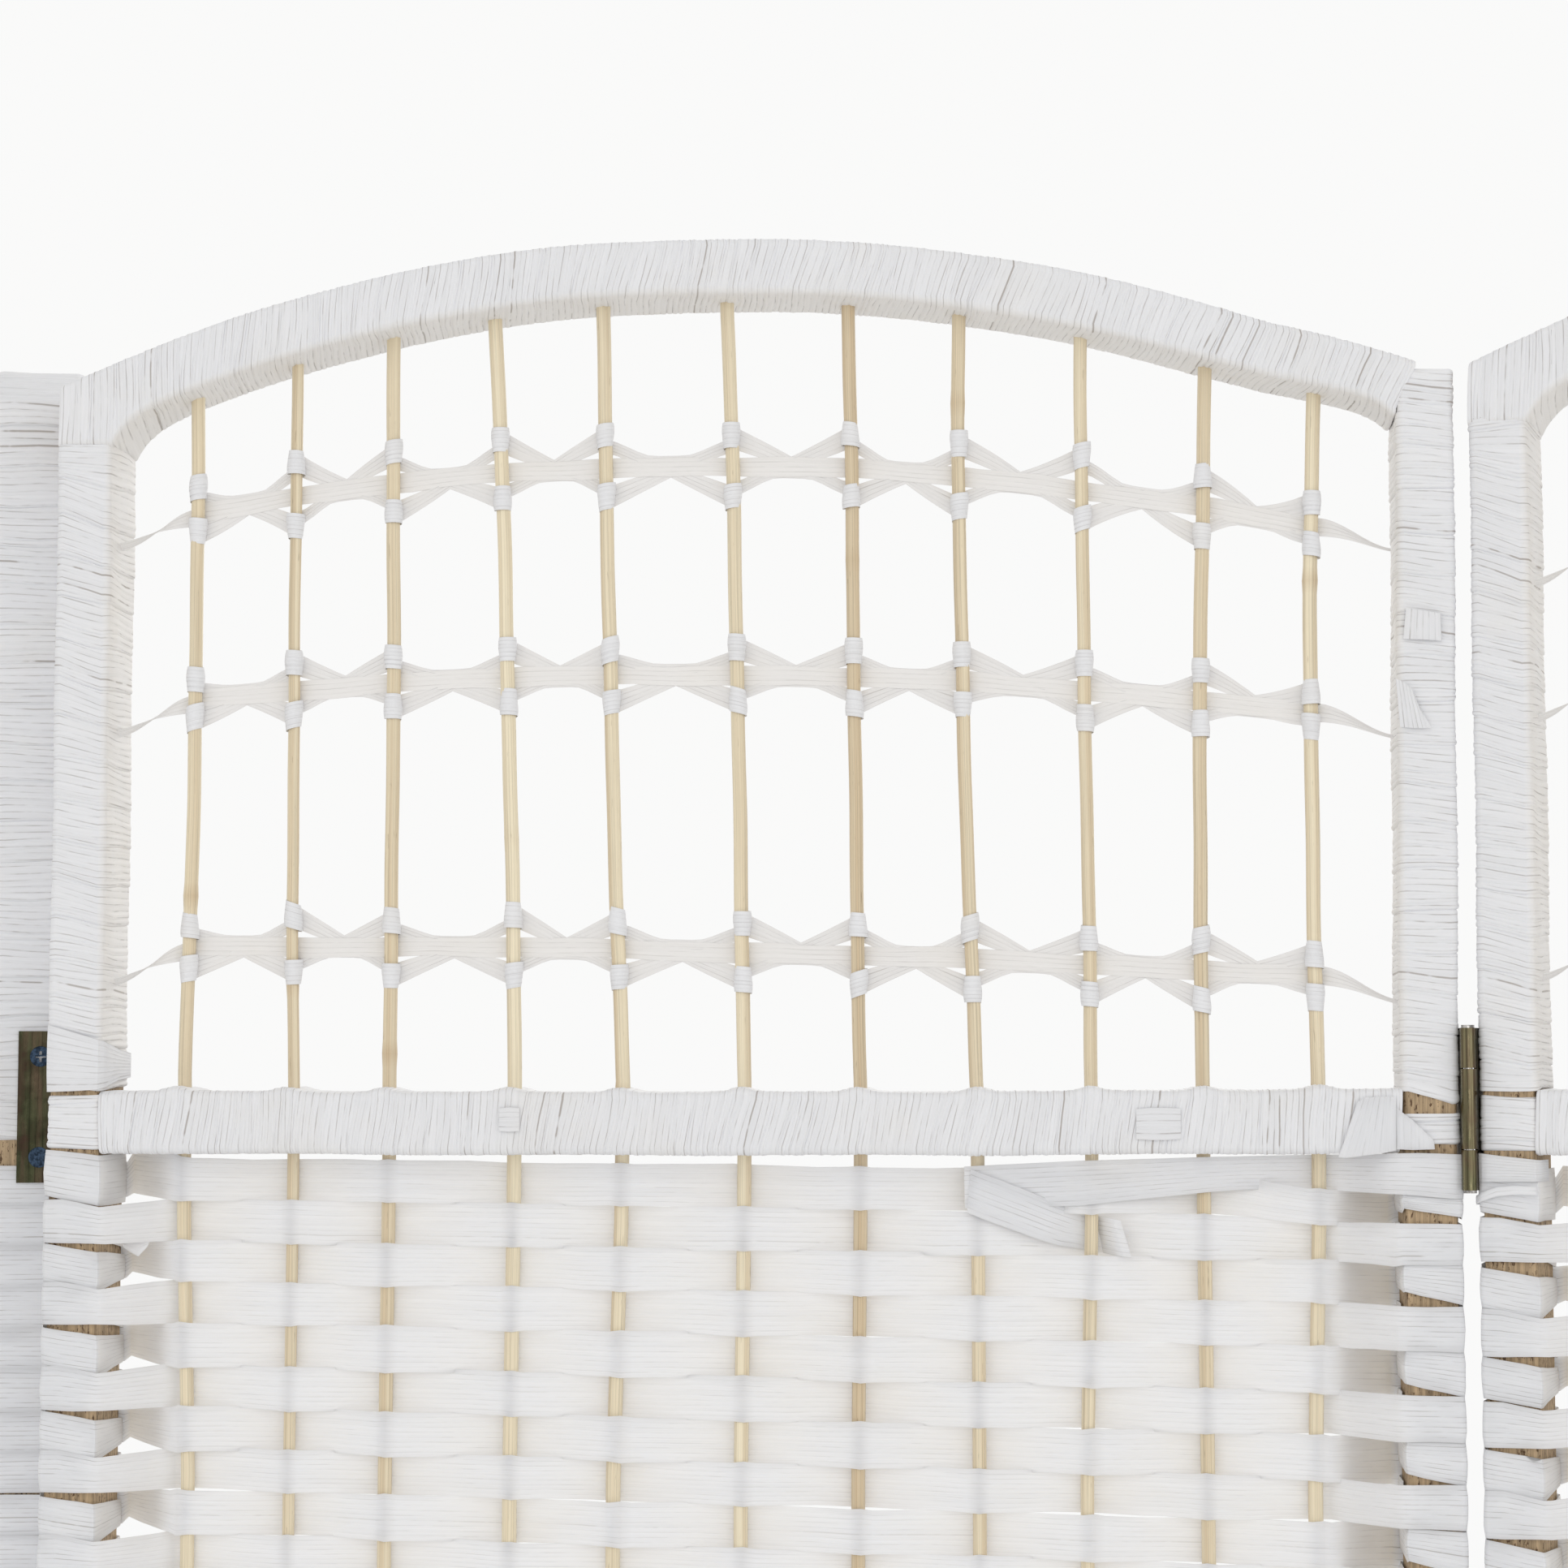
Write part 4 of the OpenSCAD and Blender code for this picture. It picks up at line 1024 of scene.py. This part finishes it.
def loose_papers():
    """Loose bits of paper: a panel, a name, a count of strands, whether they stand upright, and stations.

    A station holds the places of its upper and lower edge along the panel, its depth, and the heights of
    its upper and lower edge.
    """
    front = -HALF_D - 0.95 * MM
    rail = -HALF_D - 0.75 * MM
    weave = -ROD_R - 1.25 * MM
    return [
        (3, "top_band", 9, False, [
            (262.6, 262.8, weave, 1435.3, 1423.6), (266, 267, weave, 1435.5, 1423.6),
            (280, 280, weave + 0.5 * MM, 1436.2, 1423.9), (295, 295, weave, 1437.0, 1424.4),
            (306, 306, weave, 1437.3, 1425.6), (318, 318, weave, 1437.7, 1426.9),
            (330, 330, weave, 1438.1, 1428.2), (340, 340, weave + 2 * MM, 1438.3, 1428.9),
            (350, 350, ROD_R * 0.6, 1438.5, 1429.0), (362, 362, ROD_R + 0.8 * MM, 1438.7, 1428.8),
            (371, 371, -ROD_R, 1438.9, 1428.5), (379, 379, front + 2.2 * MM, 1439.3, 1428.3),
            (383.6, 383.6, front, 1439.5, 1428.2), (388, 388, front, 1439.6, 1427.9),
            (393, 393, front, 1439.5, 1427.4), (398.2, 398.2, front, 1439.3, 1427.0),
            (400.2, 400.2, front + 0.9 * MM, 1439.2, 1427.0), (400.6, 400.6, front + 3 * MM, 1439.2, 1427.0),
            (400.6, 400.6, 0.0, 1439.2, 1427.0), (400.6, 400.6, HALF_D, 1439.2, 1427.0)]),
        (3, "flap", 8, False, [
            (264.6, 263.4, weave - 0.5 * MM, 1434.6, 1422.4), (272, 270, weave - 0.5 * MM, 1431.9, 1419.8),
            (281, 278.5, weave - 0.3 * MM, 1428.4, 1416.8), (289, 285, weave + 0.6 * MM, 1425.1, 1414.4),
            (293.8, 288.8, -0.4 * MM, 1423.2, 1413.2), (299, 301, ROD_R + 0.9 * MM, 1421.5, 1411.2),
            (304, 307, weave - 0.2 * MM, 1420.9, 1410.2), (306.5, 309.5, weave - 0.4 * MM, 1420.3, 1410.0)]),
        (3, "rail_patch_1", 5, False, [
            (311, 311, rail, 1451.6, 1443.2), (315, 315, rail - 0.1 * MM, 1452, 1443.0),
            (319, 319, rail - 0.1 * MM, 1452, 1443.0), (323.3, 323.3, rail, 1451.8, 1443.3)]),
        (3, "rail_patch_2", 5, False, [
            (131.7, 131.7, rail, 1451.6, 1445.2), (134.6, 134.6, rail - 0.1 * MM, 1452, 1445.0),
            (137.6, 137.6, rail, 1451.8, 1445.2)]),
        (3, "rail_fold", 7, True, [
            (371.8, 366.5, rail, 1453.6, 1438.4), (374.0, 368.6, rail - 0.25 * MM, 1454.8, 1438.2),
            (377.2, 374.0, rail - 0.3 * MM, 1455.0, 1438.9), (380.2, 379.0, rail - 0.3 * MM, 1455.1, 1439.6),
            (382.4, 382.3, rail - 0.2 * MM, 1455.0, 1440.3)]),
        (3, "rail_fold_end", 5, True, [
            (382.2, 382.4, rail, 1452.2, 1440.6), (387.0, 387.0, rail, 1448.5, 1440.4),
            (392.6, 392.8, rail, 1443.0, 1440.6)]),
        (3, "torn_tab", 2, False, [
            (19.6, 20.4, weave, 1413.9, 1411.6), (22.0, 23.4, weave - 0.4 * MM, 1413.9, 1409.8),
            (24.6, 25.0, weave - 0.5 * MM, 1413.9, 1409.0), (28.4, 27.6, weave - 0.2 * MM, 1413.8, 1411.8)]),
        (3, "post_band", 9, False, [
            (0.2, 0.2, HALF_D, 1475.4, 1456.2), (0.2, 0.2, 0.0, 1475.4, 1456.2),
            (0.3, 0.3, front + 1.2 * MM, 1475.4, 1456.2), (1.8, 1.8, front, 1475.1, 1456.2),
            (8.0, 8.0, front, 1473.3, 1456.4), (15.4, 15.4, front, 1471.2, 1456.8),
            (17.0, 17.0, front + 2 * MM, 1470.6, 1457.4), (17.2, 17.2, 0.0, 1468.6, 1459.5),
            (17.0, 17.0, HALF_D, 1467.4, 1460.4)]),
        (3, "post_patch", 6, True, [
            (387.1, 386.2, front, 1590.9, 1582.2), (391.6, 391.4, front - 0.1 * MM, 1590.2, 1582.0),
            (396.6, 396.8, front, 1589.3, 1581.6)]),
        (3, "post_fold", 7, True, [
            (384.0, 385.0, front + 0.1 * MM, 1571.2, 1557.6),
            (386.6, 388.4, front - 0.2 * MM, 1569.8, 1557.2),
            (388.6, 391.4, front - 0.2 * MM, 1568.0, 1557.1), (390.2, 393.8, front, 1563.4, 1557.2)]),
        (4, "spare_band", 9, False, [
            (16.7, 16.7, 0.0, 1437.7, 1431.8), (16.6, 16.6, front + 2 * MM, 1437.8, 1431.9),
            (15.6, 15.6, front, 1437.9, 1431.9), (11, 11, front - 0.1 * MM, 1438.4, 1431.9),
            (6, 6, front - 0.1 * MM, 1438.9, 1431.8), (1.2, 1.2, front, 1439.5, 1431.7),
            (-0.4, -0.4, front + 1.2 * MM, 1439.6, 1431.7), (-0.6, -0.6, 0.0, 1439.6, 1431.8),
            (-0.6, -0.6, HALF_D, 1439.6, 1431.8)]),
        (4, "spare_loop", 2, False, [
            (15.8, 15.8, front - 0.7 * MM, 1430.6, 1428.3), (10, 10, front - 0.9 * MM, 1430.8, 1428.4),
            (5, 5, front - 0.8 * MM, 1430.4, 1427.9), (0.8, 0.8, front - 0.4 * MM, 1428.9, 1426.4),
            (-1.0, -1.0, front + 1.4 * MM, 1427.9, 1425.5), (-1.1, -1.1, 0.0, 1427.6, 1425.2)]),
    ]


class SCREEN_OT_loose_papers(bpy.types.Operator):
    """Loose ends, folds and patches of paper on the fronts of the third and fourth panels"""

    bl_idname = "screen.loose_papers"
    bl_label = "Loose papers"

    def execute(self, context):
        for paper in loose_papers():
            self.add_paper(context, *paper)
        return {"FINISHED"}

    def add_paper(self, context, p, name, strands, upright, stations):
        table = np.array([(a * MM, b * MM, y, high * MM, low * MM) for a, b, y, high, low in stations])
        bulge = np.array([0, 0.8, 1.0, 0.8, 0, -0.4, -0.4, -0.4, 0]) * context.scene.screen_sizes.band_t / 2
        per_station = 3
        cells = (len(stations) - 1) * per_station
        run, tangent = run_along(np.stack(((table[:, 0] + table[:, 1]) / 2, table[:, 2]), axis=1))

        def shape(strip, along, k):
            high_x, low_x, y, high, low, turn_x, turn_y, length = (
                np.interp(along / per_station, np.arange(len(stations)), column)
                for column in (*table.T, *tangent.T, run))
            share = EIGHT_ACROSS[k]
            out = np.where((along == 0) | (along == cells), 0.0, bulge[k])
            x = low_x + (high_x - low_x) * share + turn_y * out
            z = low + (high - low) * share
            uv = (z, 5.0 + length / run[-1] * strands) if upright else (length, 5.0 + share * strands)
            return (x, y - turn_x * out, z), uv, {"lines": 0.75}

        finish = "paper_strand" if name.startswith(("post", "rail_patch")) else "paper_bands"
        add_strips(context, p, name, finish, 1, cells, 8, shape)


# Rods and lattice

class SCREEN_OT_rods(bpy.types.Operator):
    """Bamboo rods, slightly uneven, with their joints"""

    bl_idname = "screen.rods"
    bl_label = "Bamboo rods"

    def execute(self, context):
        for p in PANELS:
            self.add_rods(context, p)
        return {"FINISHED"}

    def add_rods(self, context, p):
        rng = np.random.default_rng(800 + p)
        around, cells = 12, 96
        # Each rod's joints, how oval it is and which way, and how brown
        joints = rng.random(RODS) * 0.3
        spacing = 0.27 + 0.06 * rng.random(RODS)
        oval = 0.06 + 0.06 * rng.random(RODS)
        turned = rng.random(RODS) * math.pi
        brown = ROD_BROWN if p == 3 else rng.permutation(ROD_BROWN) * 0.7 + 0.08
        lowest = ROD_LOW.z
        # Most rings stand above the mid rail, where the rods lean and show
        split = 0.4

        def shape(rod, along, k):
            top = arch_under(p, ROD_X[rod] + ROD_LEAN[rod]) + 5 * MM
            share = np.clip((along - 1) / (cells - 2), 0, 1)
            z = np.where(share < split, lowest + (MID_BOTTOM - lowest) * share / split,
                         MID_BOTTOM + (top - MID_BOTTOM) * (share - split) / (1 - split))
            angle = k / around * FULL_TURN
            joint = ((z + joints[rod]) / spacing[rod]) % 1.0
            ring = np.exp(-((np.minimum(joint, 1 - joint) * spacing[rod]) / (1.6 * MM)) ** 2)
            r = ROD_R * ROD_GIRTH[rod] * (1 - oval[rod] * np.cos(2 * (angle - turned[rod])) * 0.5)
            r = r * (1 + 0.02 * wave(810 + p, rod, z, 0.11)) + 0.25 * MM * ring
            r = np.where((along == 0) | (along == cells), 0.0, r)
            wander = 0.35 * MM * wave(820 + p, rod, z, 0.23) * (z > MID_TOP)
            x = rod_x(p, rod, z) + wander + r * np.cos(angle)
            return (x, r * np.sin(angle), z), (rod * 3.0 + k / around, z), {"shade": brown[rod] + 0.25 * ring}

        add_strips(context, p, "bamboo_rods", "bamboo", RODS, cells, around, shape, "rods")


def row_centre(row, x):
    """Height of a lattice row's centre line."""
    up, fall, tilt, _ = LATTICE_ROWS[row]
    away = (x - HALF_W) / ((ROD_X[-1] - ROD_X[0]) / 2)
    return MID_TOP + up - fall * away ** 2 + tilt / 2 * away


def knot_heights(p, row):
    """Heights of the upper and lower knot on each rod of a lattice row."""
    rng = np.random.default_rng(900 + 10 * p + row)
    gap = np.full(RODS, LATTICE_ROWS[row][3])
    gap[[0, -1]] *= 0.70
    centre = row_centre(row, ROD_X) + (rng.random(RODS) - 0.5) * 1.6 * MM
    gap = gap + (rng.random(RODS) - 0.5) * 1.8 * MM
    return centre + gap / 2, centre - gap / 2


class SCREEN_OT_lattice(bpy.types.Operator):
    """Paper ribbons tied round the rods above the mid rail"""

    bl_idname = "screen.lattice"
    bl_label = "Lattice ribbons"

    def execute(self, context):
        for p in PANELS:
            for row in range(len(LATTICE_ROWS)):
                for add in (self.add_core, self.add_ties, self.add_knots, self.add_tails):
                    add(context, context.scene.screen_sizes, p, row)
        return {"FINISHED"}

    def add_core(self, context, sizes, p, row):
        """The straight ribbon behind the rods along a row's centre."""
        per_span = 6
        cells = (RODS - 1) * per_span
        bulge = np.array([0, 1, 0.6, 1, 0, -1, -0.6, -1, 0]) * sizes.ribbon_t / 2
        centre = row_centre(row, ROD_X)
        rods = np.array([rod_x(p, r, centre[r]) for r in range(RODS)])
        seed = 1000 * row + p

        def shape(strip, along, k):
            i = np.minimum(along // per_span, RODS - 2)
            share = (along - i * per_span) / per_span
            x = rods[i] + (rods[i + 1] - rods[i]) * share
            sag = 0.5 * MM * wave(seed, strip, x, 120 * MM)
            half = sizes.ribbon_h / 2 * (1.04 + 0.10 * wave(seed + 1, strip, x, 60 * MM))
            z = row_centre(row, x) + sag + (2 * EIGHT_ACROSS[k] - 1) * half
            y = ROD_R + 0.45 * MM + 0.35 * MM * np.sin(np.pi * share) ** 2
            y = y + bulge[k] * ((along > 0) & (along < cells))
            y = y + 0.15 * MM * wave(seed + 2, k, x, 25 * MM) * (k % 4 > 0)
            return (x, y, z), (x, row * 20.0 + EIGHT_ACROSS[k] * 4), {"lines": 0.8, "cream_and_painted_light": 0.35}

        add_strips(context, p, f"row_{row}_ribbon", "paper_ribbon", 1, cells, 8, shape,
                   None if row else "lattice_ribbons")

    def add_ties(self, context, sizes, p, row):
        """The ribbons that run from knot to knot and draw in to the row's centre between rods."""
        cells, spans = 12, RODS - 1
        bulge = np.array([0, 1, 0.4, 1, 0, -1, -0.4, -1, 0]) * sizes.ribbon_t / 2
        upper, lower = knot_heights(p, row)

        def shape(tie, along, k):
            i, up = tie % spans, np.where(tie < spans, 1.0, -1.0)
            share = along / cells
            knot_a = np.where(up > 0, upper[i], lower[i])
            knot_b = np.where(up > 0, upper[i + 1], lower[i + 1])
            knot_z = np.where(share < 0.5, knot_a, knot_b)
            x_a, x_b = rod_x(p, i, knot_a), rod_x(p, i + 1, knot_b)
            x = x_a + (x_b - x_a) * share
            # Every second tie runs to a point midway between its rods, and the others in a curve
            sharp = (i % 2 == 1) == (up > 0)
            near = 1 - np.abs(2 * share - 1)
            drawn = np.where(sharp, near, smooth(near / 0.72) * 0.5 + np.clip(near / 0.72, 0, 1) * 0.5)
            centre = row_centre(row, x)
            outer = (knot_z + up * np.where(sharp, 3.4, -0.5) * MM) * (1 - drawn)
            outer = outer + (centre + up * (sizes.ribbon_h / 2 + 0.5 * MM)) * drawn
            inner = (knot_z - up * np.where(sharp, 3.4, 4.6) * MM) * (1 - drawn)
            inner = inner + (centre - up * 0.5 * MM) * drawn
            z = inner + (outer - inner) * EIGHT_ACROSS[k]
            y = ROD_R + 0.55 * MM + 0.45 * MM * smooth(near)
            y = y + bulge[k] * ((along > 0) & (along < cells))
            y = y + 0.18 * MM * wave(950 + p, tie * 9 + k, x, 22 * MM) * (k % 4 > 0)
            return (x, y, z), (x, 60.0 + tie * 6.0 + EIGHT_ACROSS[k] * 4), {"shade": 0.12, "cream_and_painted_light": 0.3}

        add_strips(context, p, f"row_{row}_ties", "paper_ribbon", 2 * spans, cells, 8, shape)

    def add_knots(self, context, sizes, p, row):
        """Ribbon wound round each rod, above and below the row's centre."""
        per_turn = 14
        cells = round(sizes.knot_turns * per_turn)
        bulge = np.array([0, 1, 1, 0, -0.4, -0.4, 0]) * sizes.ribbon_t / 2
        upper, lower = knot_heights(p, row)
        rng = np.random.default_rng(960 + 10 * p + row)
        # Each knot climbs or falls as it is wound, and is a little conical and tilted
        way = np.where(rng.random(2 * RODS) > 0.5, 1.0, -1.0)
        drift = (3.4 + 1.6 * rng.random(2 * RODS)) * MM * way
        cone = (rng.random(2 * RODS) - 0.3) * 0.5 * MM
        tip = (rng.random(2 * RODS) - 0.5) * 1.1 * MM

        def shape(knot, along, k):
            i, up = knot % RODS, np.where(knot < RODS, 1.0, -1.0)
            middle = np.where(up > 0, upper[i], lower[i])
            share = along / cells
            angle = math.pi / 2 + FULL_TURN * sizes.knot_turns * share
            r = ROD_R + 0.12 * MM + 0.50 * MM * share + bulge[k] * ((along > 0) & (along < cells))
            r = r + cone[knot] * (SIX_ACROSS[k] - 0.5) * -up
            half = sizes.knot_h / 2 * (1 - 0.10 * share)
            z = middle + drift[knot] * (share - 0.5) + (2 * SIX_ACROSS[k] - 1) * half
            z = z + tip[knot] * np.cos(angle)
            x = rod_x(p, i, middle) + r * np.cos(angle)
            return (x, r * np.sin(angle), z), (angle * ROD_R, knot * 6.0 + SIX_ACROSS[k] * 4), {}

        add_strips(context, p, f"row_{row}_knots", "paper_ribbon", 2 * RODS, cells, 6, shape)

    def add_tails(self, context, sizes, p, row):
        """The twisted ends of a row that reach the posts."""
        cells = 16
        bulge = np.array([0, 1, 1, 0, -1, -1, 0]) * sizes.ribbon_t / 2
        centre = row_centre(row, ROD_X)

        def shape(tail, along, k):
            left = tail == 0
            share = along / cells
            x_rod = np.where(left, rod_x(p, 0, centre[0]), rod_x(p, RODS - 1, centre[-1]))
            x_post = np.where(left, LEFT_IN - 0.4 * MM, RIGHT_IN + 0.4 * MM)
            z_rod = np.where(left, centre[0] - 1.5 * MM, centre[-1])
            # The top row of the fourth panel drops steeply before its left post
            steep = 17 * MM * smooth(share / 0.5) if (p, row) == (4, 2) else 0
            z_post = z_rod - np.where(left, 9.0, 7.5) * MM
            x = x_rod + (x_post - x_rod) * share
            bow = np.sin(np.pi * share) * np.where(left, 1.2, 1.6) * MM
            z = z_rod + (z_post - z_rod) * smooth(share * 0.92 + 0.04) + bow * 0.6 - left * steep
            # The left tail twists further than the right one, and both grow slimmer towards the post
            twist = np.where(left, 2.3, 1.1) * smooth(share)
            half = sizes.ribbon_h / 2 * (1 - np.where(left, 0.30, 0.48) * np.sin(np.pi * share * 0.55) ** 2)
            half = half * np.where(left, 0.78 + 0.22 * (1 - share) ** 2, 1.0)
            lift = (2 * SIX_ACROSS[k] - 1) * half
            thick = bulge[k] * ((along > 0) & (along < cells))
            y = (ROD_R + 0.5 * MM) * (1 - share) - 2.0 * MM * share
            y = y + lift * np.sin(twist) + thick * np.cos(twist)
            z = z + lift * np.cos(twist) - thick * np.sin(twist)
            return (x, y, z), (x, 90.0 + tail * 6 + SIX_ACROSS[k] * 4), {"shade": 0.05, "cream_and_painted_light": 0.3}

        add_strips(context, p, f"row_{row}_tails", "paper_ribbon", 2, cells, 6, shape)


# How much shorter the arch's nails are, because the wound arch is slimmer than its rail
NAIL_CUT = 8 * MM


class SCREEN_OT_metalwork(bpy.types.Operator):
    """Finishes of the hinge leaves, pins, screws and frame nails"""

    bl_idname = "screen.metalwork"
    bl_label = "Hinges, screws and nails"

    def execute(self, context):
        for p in PANELS:
            self.add_nails(context, p)
        finishes = {"leaves": "zinc_plate", "screws": "screw_steel", "pins": "steel"}
        for name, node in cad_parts.items():
            finish = finishes.get(name.rsplit("_", 1)[-1])
            if finish:
                refinish(context, node, finish)
        return {"FINISHED"}

    def add_nails(self, context, p):
        """The frame nails, with the tips of the arch's nails drawn back."""
        bm = bmesh.new()
        bm.from_mesh(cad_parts[f"panel_{p}_frame_nails"].data)
        bmesh.ops.remove_doubles(bm, verts=bm.verts, dist=MERGE)
        bm.transform(panel_place(p).inverted())
        for vert in bm.verts:
            if vert.co.z > MID_TOP + MM and LEFT_IN < vert.co.x < RIGHT_IN:
                vert.co.x += NAIL_CUT if vert.co.x > HALF_W else -NAIL_CUT
        mesh = bpy.data.meshes.new(f"panel_{p}_nails")
        bm.to_mesh(mesh)
        bm.free()
        add_piece(context, p, mesh, "steel", "frame_nails")


# The camera stands a step in front of the third panel, at the height of its mid rail, and looks a little
# upwards and to the left
CAMERA_PLACE = (307.74 * MM, -1003.43 * MM, 1460.29 * MM)
CAMERA_RISE = 4.76
CAMERA_TURN = 5.49
CAMERA_LENS = 80.95

# Lamps: name, place, size, power and colour. All of them are aimed a little above the screen's middle
LAMPS = (
    ("key_lamp", (-1.9, -3.4, 3.1), 2.6, 10.0, (1.0, 0.995, 0.985)),
    ("front_lamp", (0.4, -3.6, 1.7), 1.4, 12.0, (1.0, 1.0, 1.0)),
    ("fill_lamp", (2.6, -2.6, 2.2), 2.4, 8.0, (0.97, 0.985, 1.0)),
    ("back_lamp", (0.6, 3.4, 2.8), 2.4, 36.0, (1.0, 0.985, 0.96)),
)
LAMP_AIM = Vector((0, 0, 1.2))
FLOOR_HALF = 9.0


class SCREEN_OT_stage(bpy.types.Operator):
    """Pale floor, soft light, white surroundings and the camera"""

    bl_idname = "screen.stage"
    bl_label = "Stage, light and camera"

    def execute(self, context):
        self.add_floor(context)
        self.set_world(context)
        self.add_lamps(context)
        self.add_camera(context)
        context.scene.view_settings.view_transform = "Standard"
        return {"FINISHED"}

    def add_object(self, context, name, data):
        made = bpy.data.objects.new(name, data)
        context.scene.collection.objects.link(made)
        return made

    def add_floor(self, context):
        bm = bmesh.new()
        bmesh.ops.create_grid(bm, x_segments=1, y_segments=1, size=FLOOR_HALF)
        mesh = bpy.data.meshes.new("floor")
        bm.to_mesh(mesh)
        bm.free()
        pale = Finish("floor", 0.85, specular=0.1)
        tone = pale.spread(pale.noise(pale.place(), 3.0, 3.0), 0.3, 0.7, 0.0, 0.02)
        pale.fill(pale.shader, {"Base Color": pale.darker((0.90, 0.90, 0.895), tone)})
        mesh.materials.append(pale.material)
        self.add_object(context, "floor", mesh)

    def set_world(self, context):
        """White surroundings, which light the screen a little less than they show."""
        world = bpy.data.worlds.new("surroundings")
        context.scene.world = world
        world.use_nodes = True
        tree = world.node_tree
        lighting = tree.nodes.new("ShaderNodeBackground")
        backdrop = tree.nodes["Background"]
        for light, colour, strength in ((lighting, (1.0, 0.99, 0.97, 1), 0.76),
                                        (backdrop, (0.955, 0.955, 0.95, 1), 1.0)):
            light.inputs["Color"].default_value = colour
            light.inputs["Strength"].default_value = strength
        rays = tree.nodes.new("ShaderNodeLightPath")
        seen = rays.outputs["Is Camera Ray"]
        for other in ("Is Glossy Ray", "Is Transmission Ray"):
            either = tree.nodes.new("ShaderNodeMath")
            either.operation = "MAXIMUM"
            tree.links.new(seen, either.inputs[0])
            tree.links.new(rays.outputs[other], either.inputs[1])
            seen = either.outputs[0]
        mix = tree.nodes.new("ShaderNodeMixShader")
        for place, output in enumerate((seen, lighting.outputs[0], backdrop.outputs[0])):
            tree.links.new(output, mix.inputs[place])
        tree.links.new(mix.outputs[0], tree.nodes["World Output"].inputs["Surface"])

    def add_lamps(self, context):
        for name, place, size, power, colour in LAMPS:
            lamp = bpy.data.lights.new(name, "AREA")
            lamp.energy = power
            lamp.size = size
            lamp.color = colour
            holder = self.add_object(context, name, lamp)
            holder.location = place
            holder.rotation_euler = (LAMP_AIM - Vector(place)).to_track_quat("-Z", "Y").to_euler()
            holder.visible_camera = False

    def add_camera(self, context):
        camera = bpy.data.cameras.new("camera")
        camera.sensor_width = 36.0
        camera.lens = CAMERA_LENS
        holder = self.add_object(context, "camera", camera)
        holder.location = panel_place(3) @ Vector(CAMERA_PLACE)
        holder.rotation_euler = Euler((math.radians(90 + CAMERA_RISE), 0, math.radians(CAMERA_TURN)))
        context.scene.camera = holder


class SCREEN_PT_sidebar(bpy.types.Panel):
    """Sizes, colours and steps of the screen's looks"""

    bl_idname = "SCREEN_PT_sidebar"
    bl_label = "Folding screen"
    bl_space_type = "VIEW_3D"
    bl_region_type = "UI"
    bl_category = "Screen"

    def draw(self, context):
        for group in (context.scene.screen_sizes, context.scene.screen_colours):
            box = self.layout.box()
            for name in group.__annotations__:
                box.prop(group, name)
        for step in STEPS:
            self.layout.operator(step.bl_idname)


STEPS = (
    SCREEN_OT_stage,
    SCREEN_OT_posts,
    SCREEN_OT_rail_windings,
    SCREEN_OT_post_windings,
    SCREEN_OT_woven_bands,
    SCREEN_OT_loose_papers,
    SCREEN_OT_rods,
    SCREEN_OT_lattice,
    SCREEN_OT_metalwork,
)
CLASSES = (ScreenSizes, ScreenColours) + STEPS + (SCREEN_PT_sidebar,)


def register():
    for cls in CLASSES:
        bpy.utils.register_class(cls)
    bpy.types.Scene.screen_sizes = PointerProperty(type=ScreenSizes)
    bpy.types.Scene.screen_colours = PointerProperty(type=ScreenColours)


def unregister():
    del bpy.types.Scene.screen_colours
    del bpy.types.Scene.screen_sizes
    for cls in reversed(CLASSES):
        bpy.utils.unregister_class(cls)


def main():
    register()
    for step in STEPS:
        getattr(bpy.ops.screen, step.bl_idname.split(".")[1])()


if __name__ == "__main__":
    main()
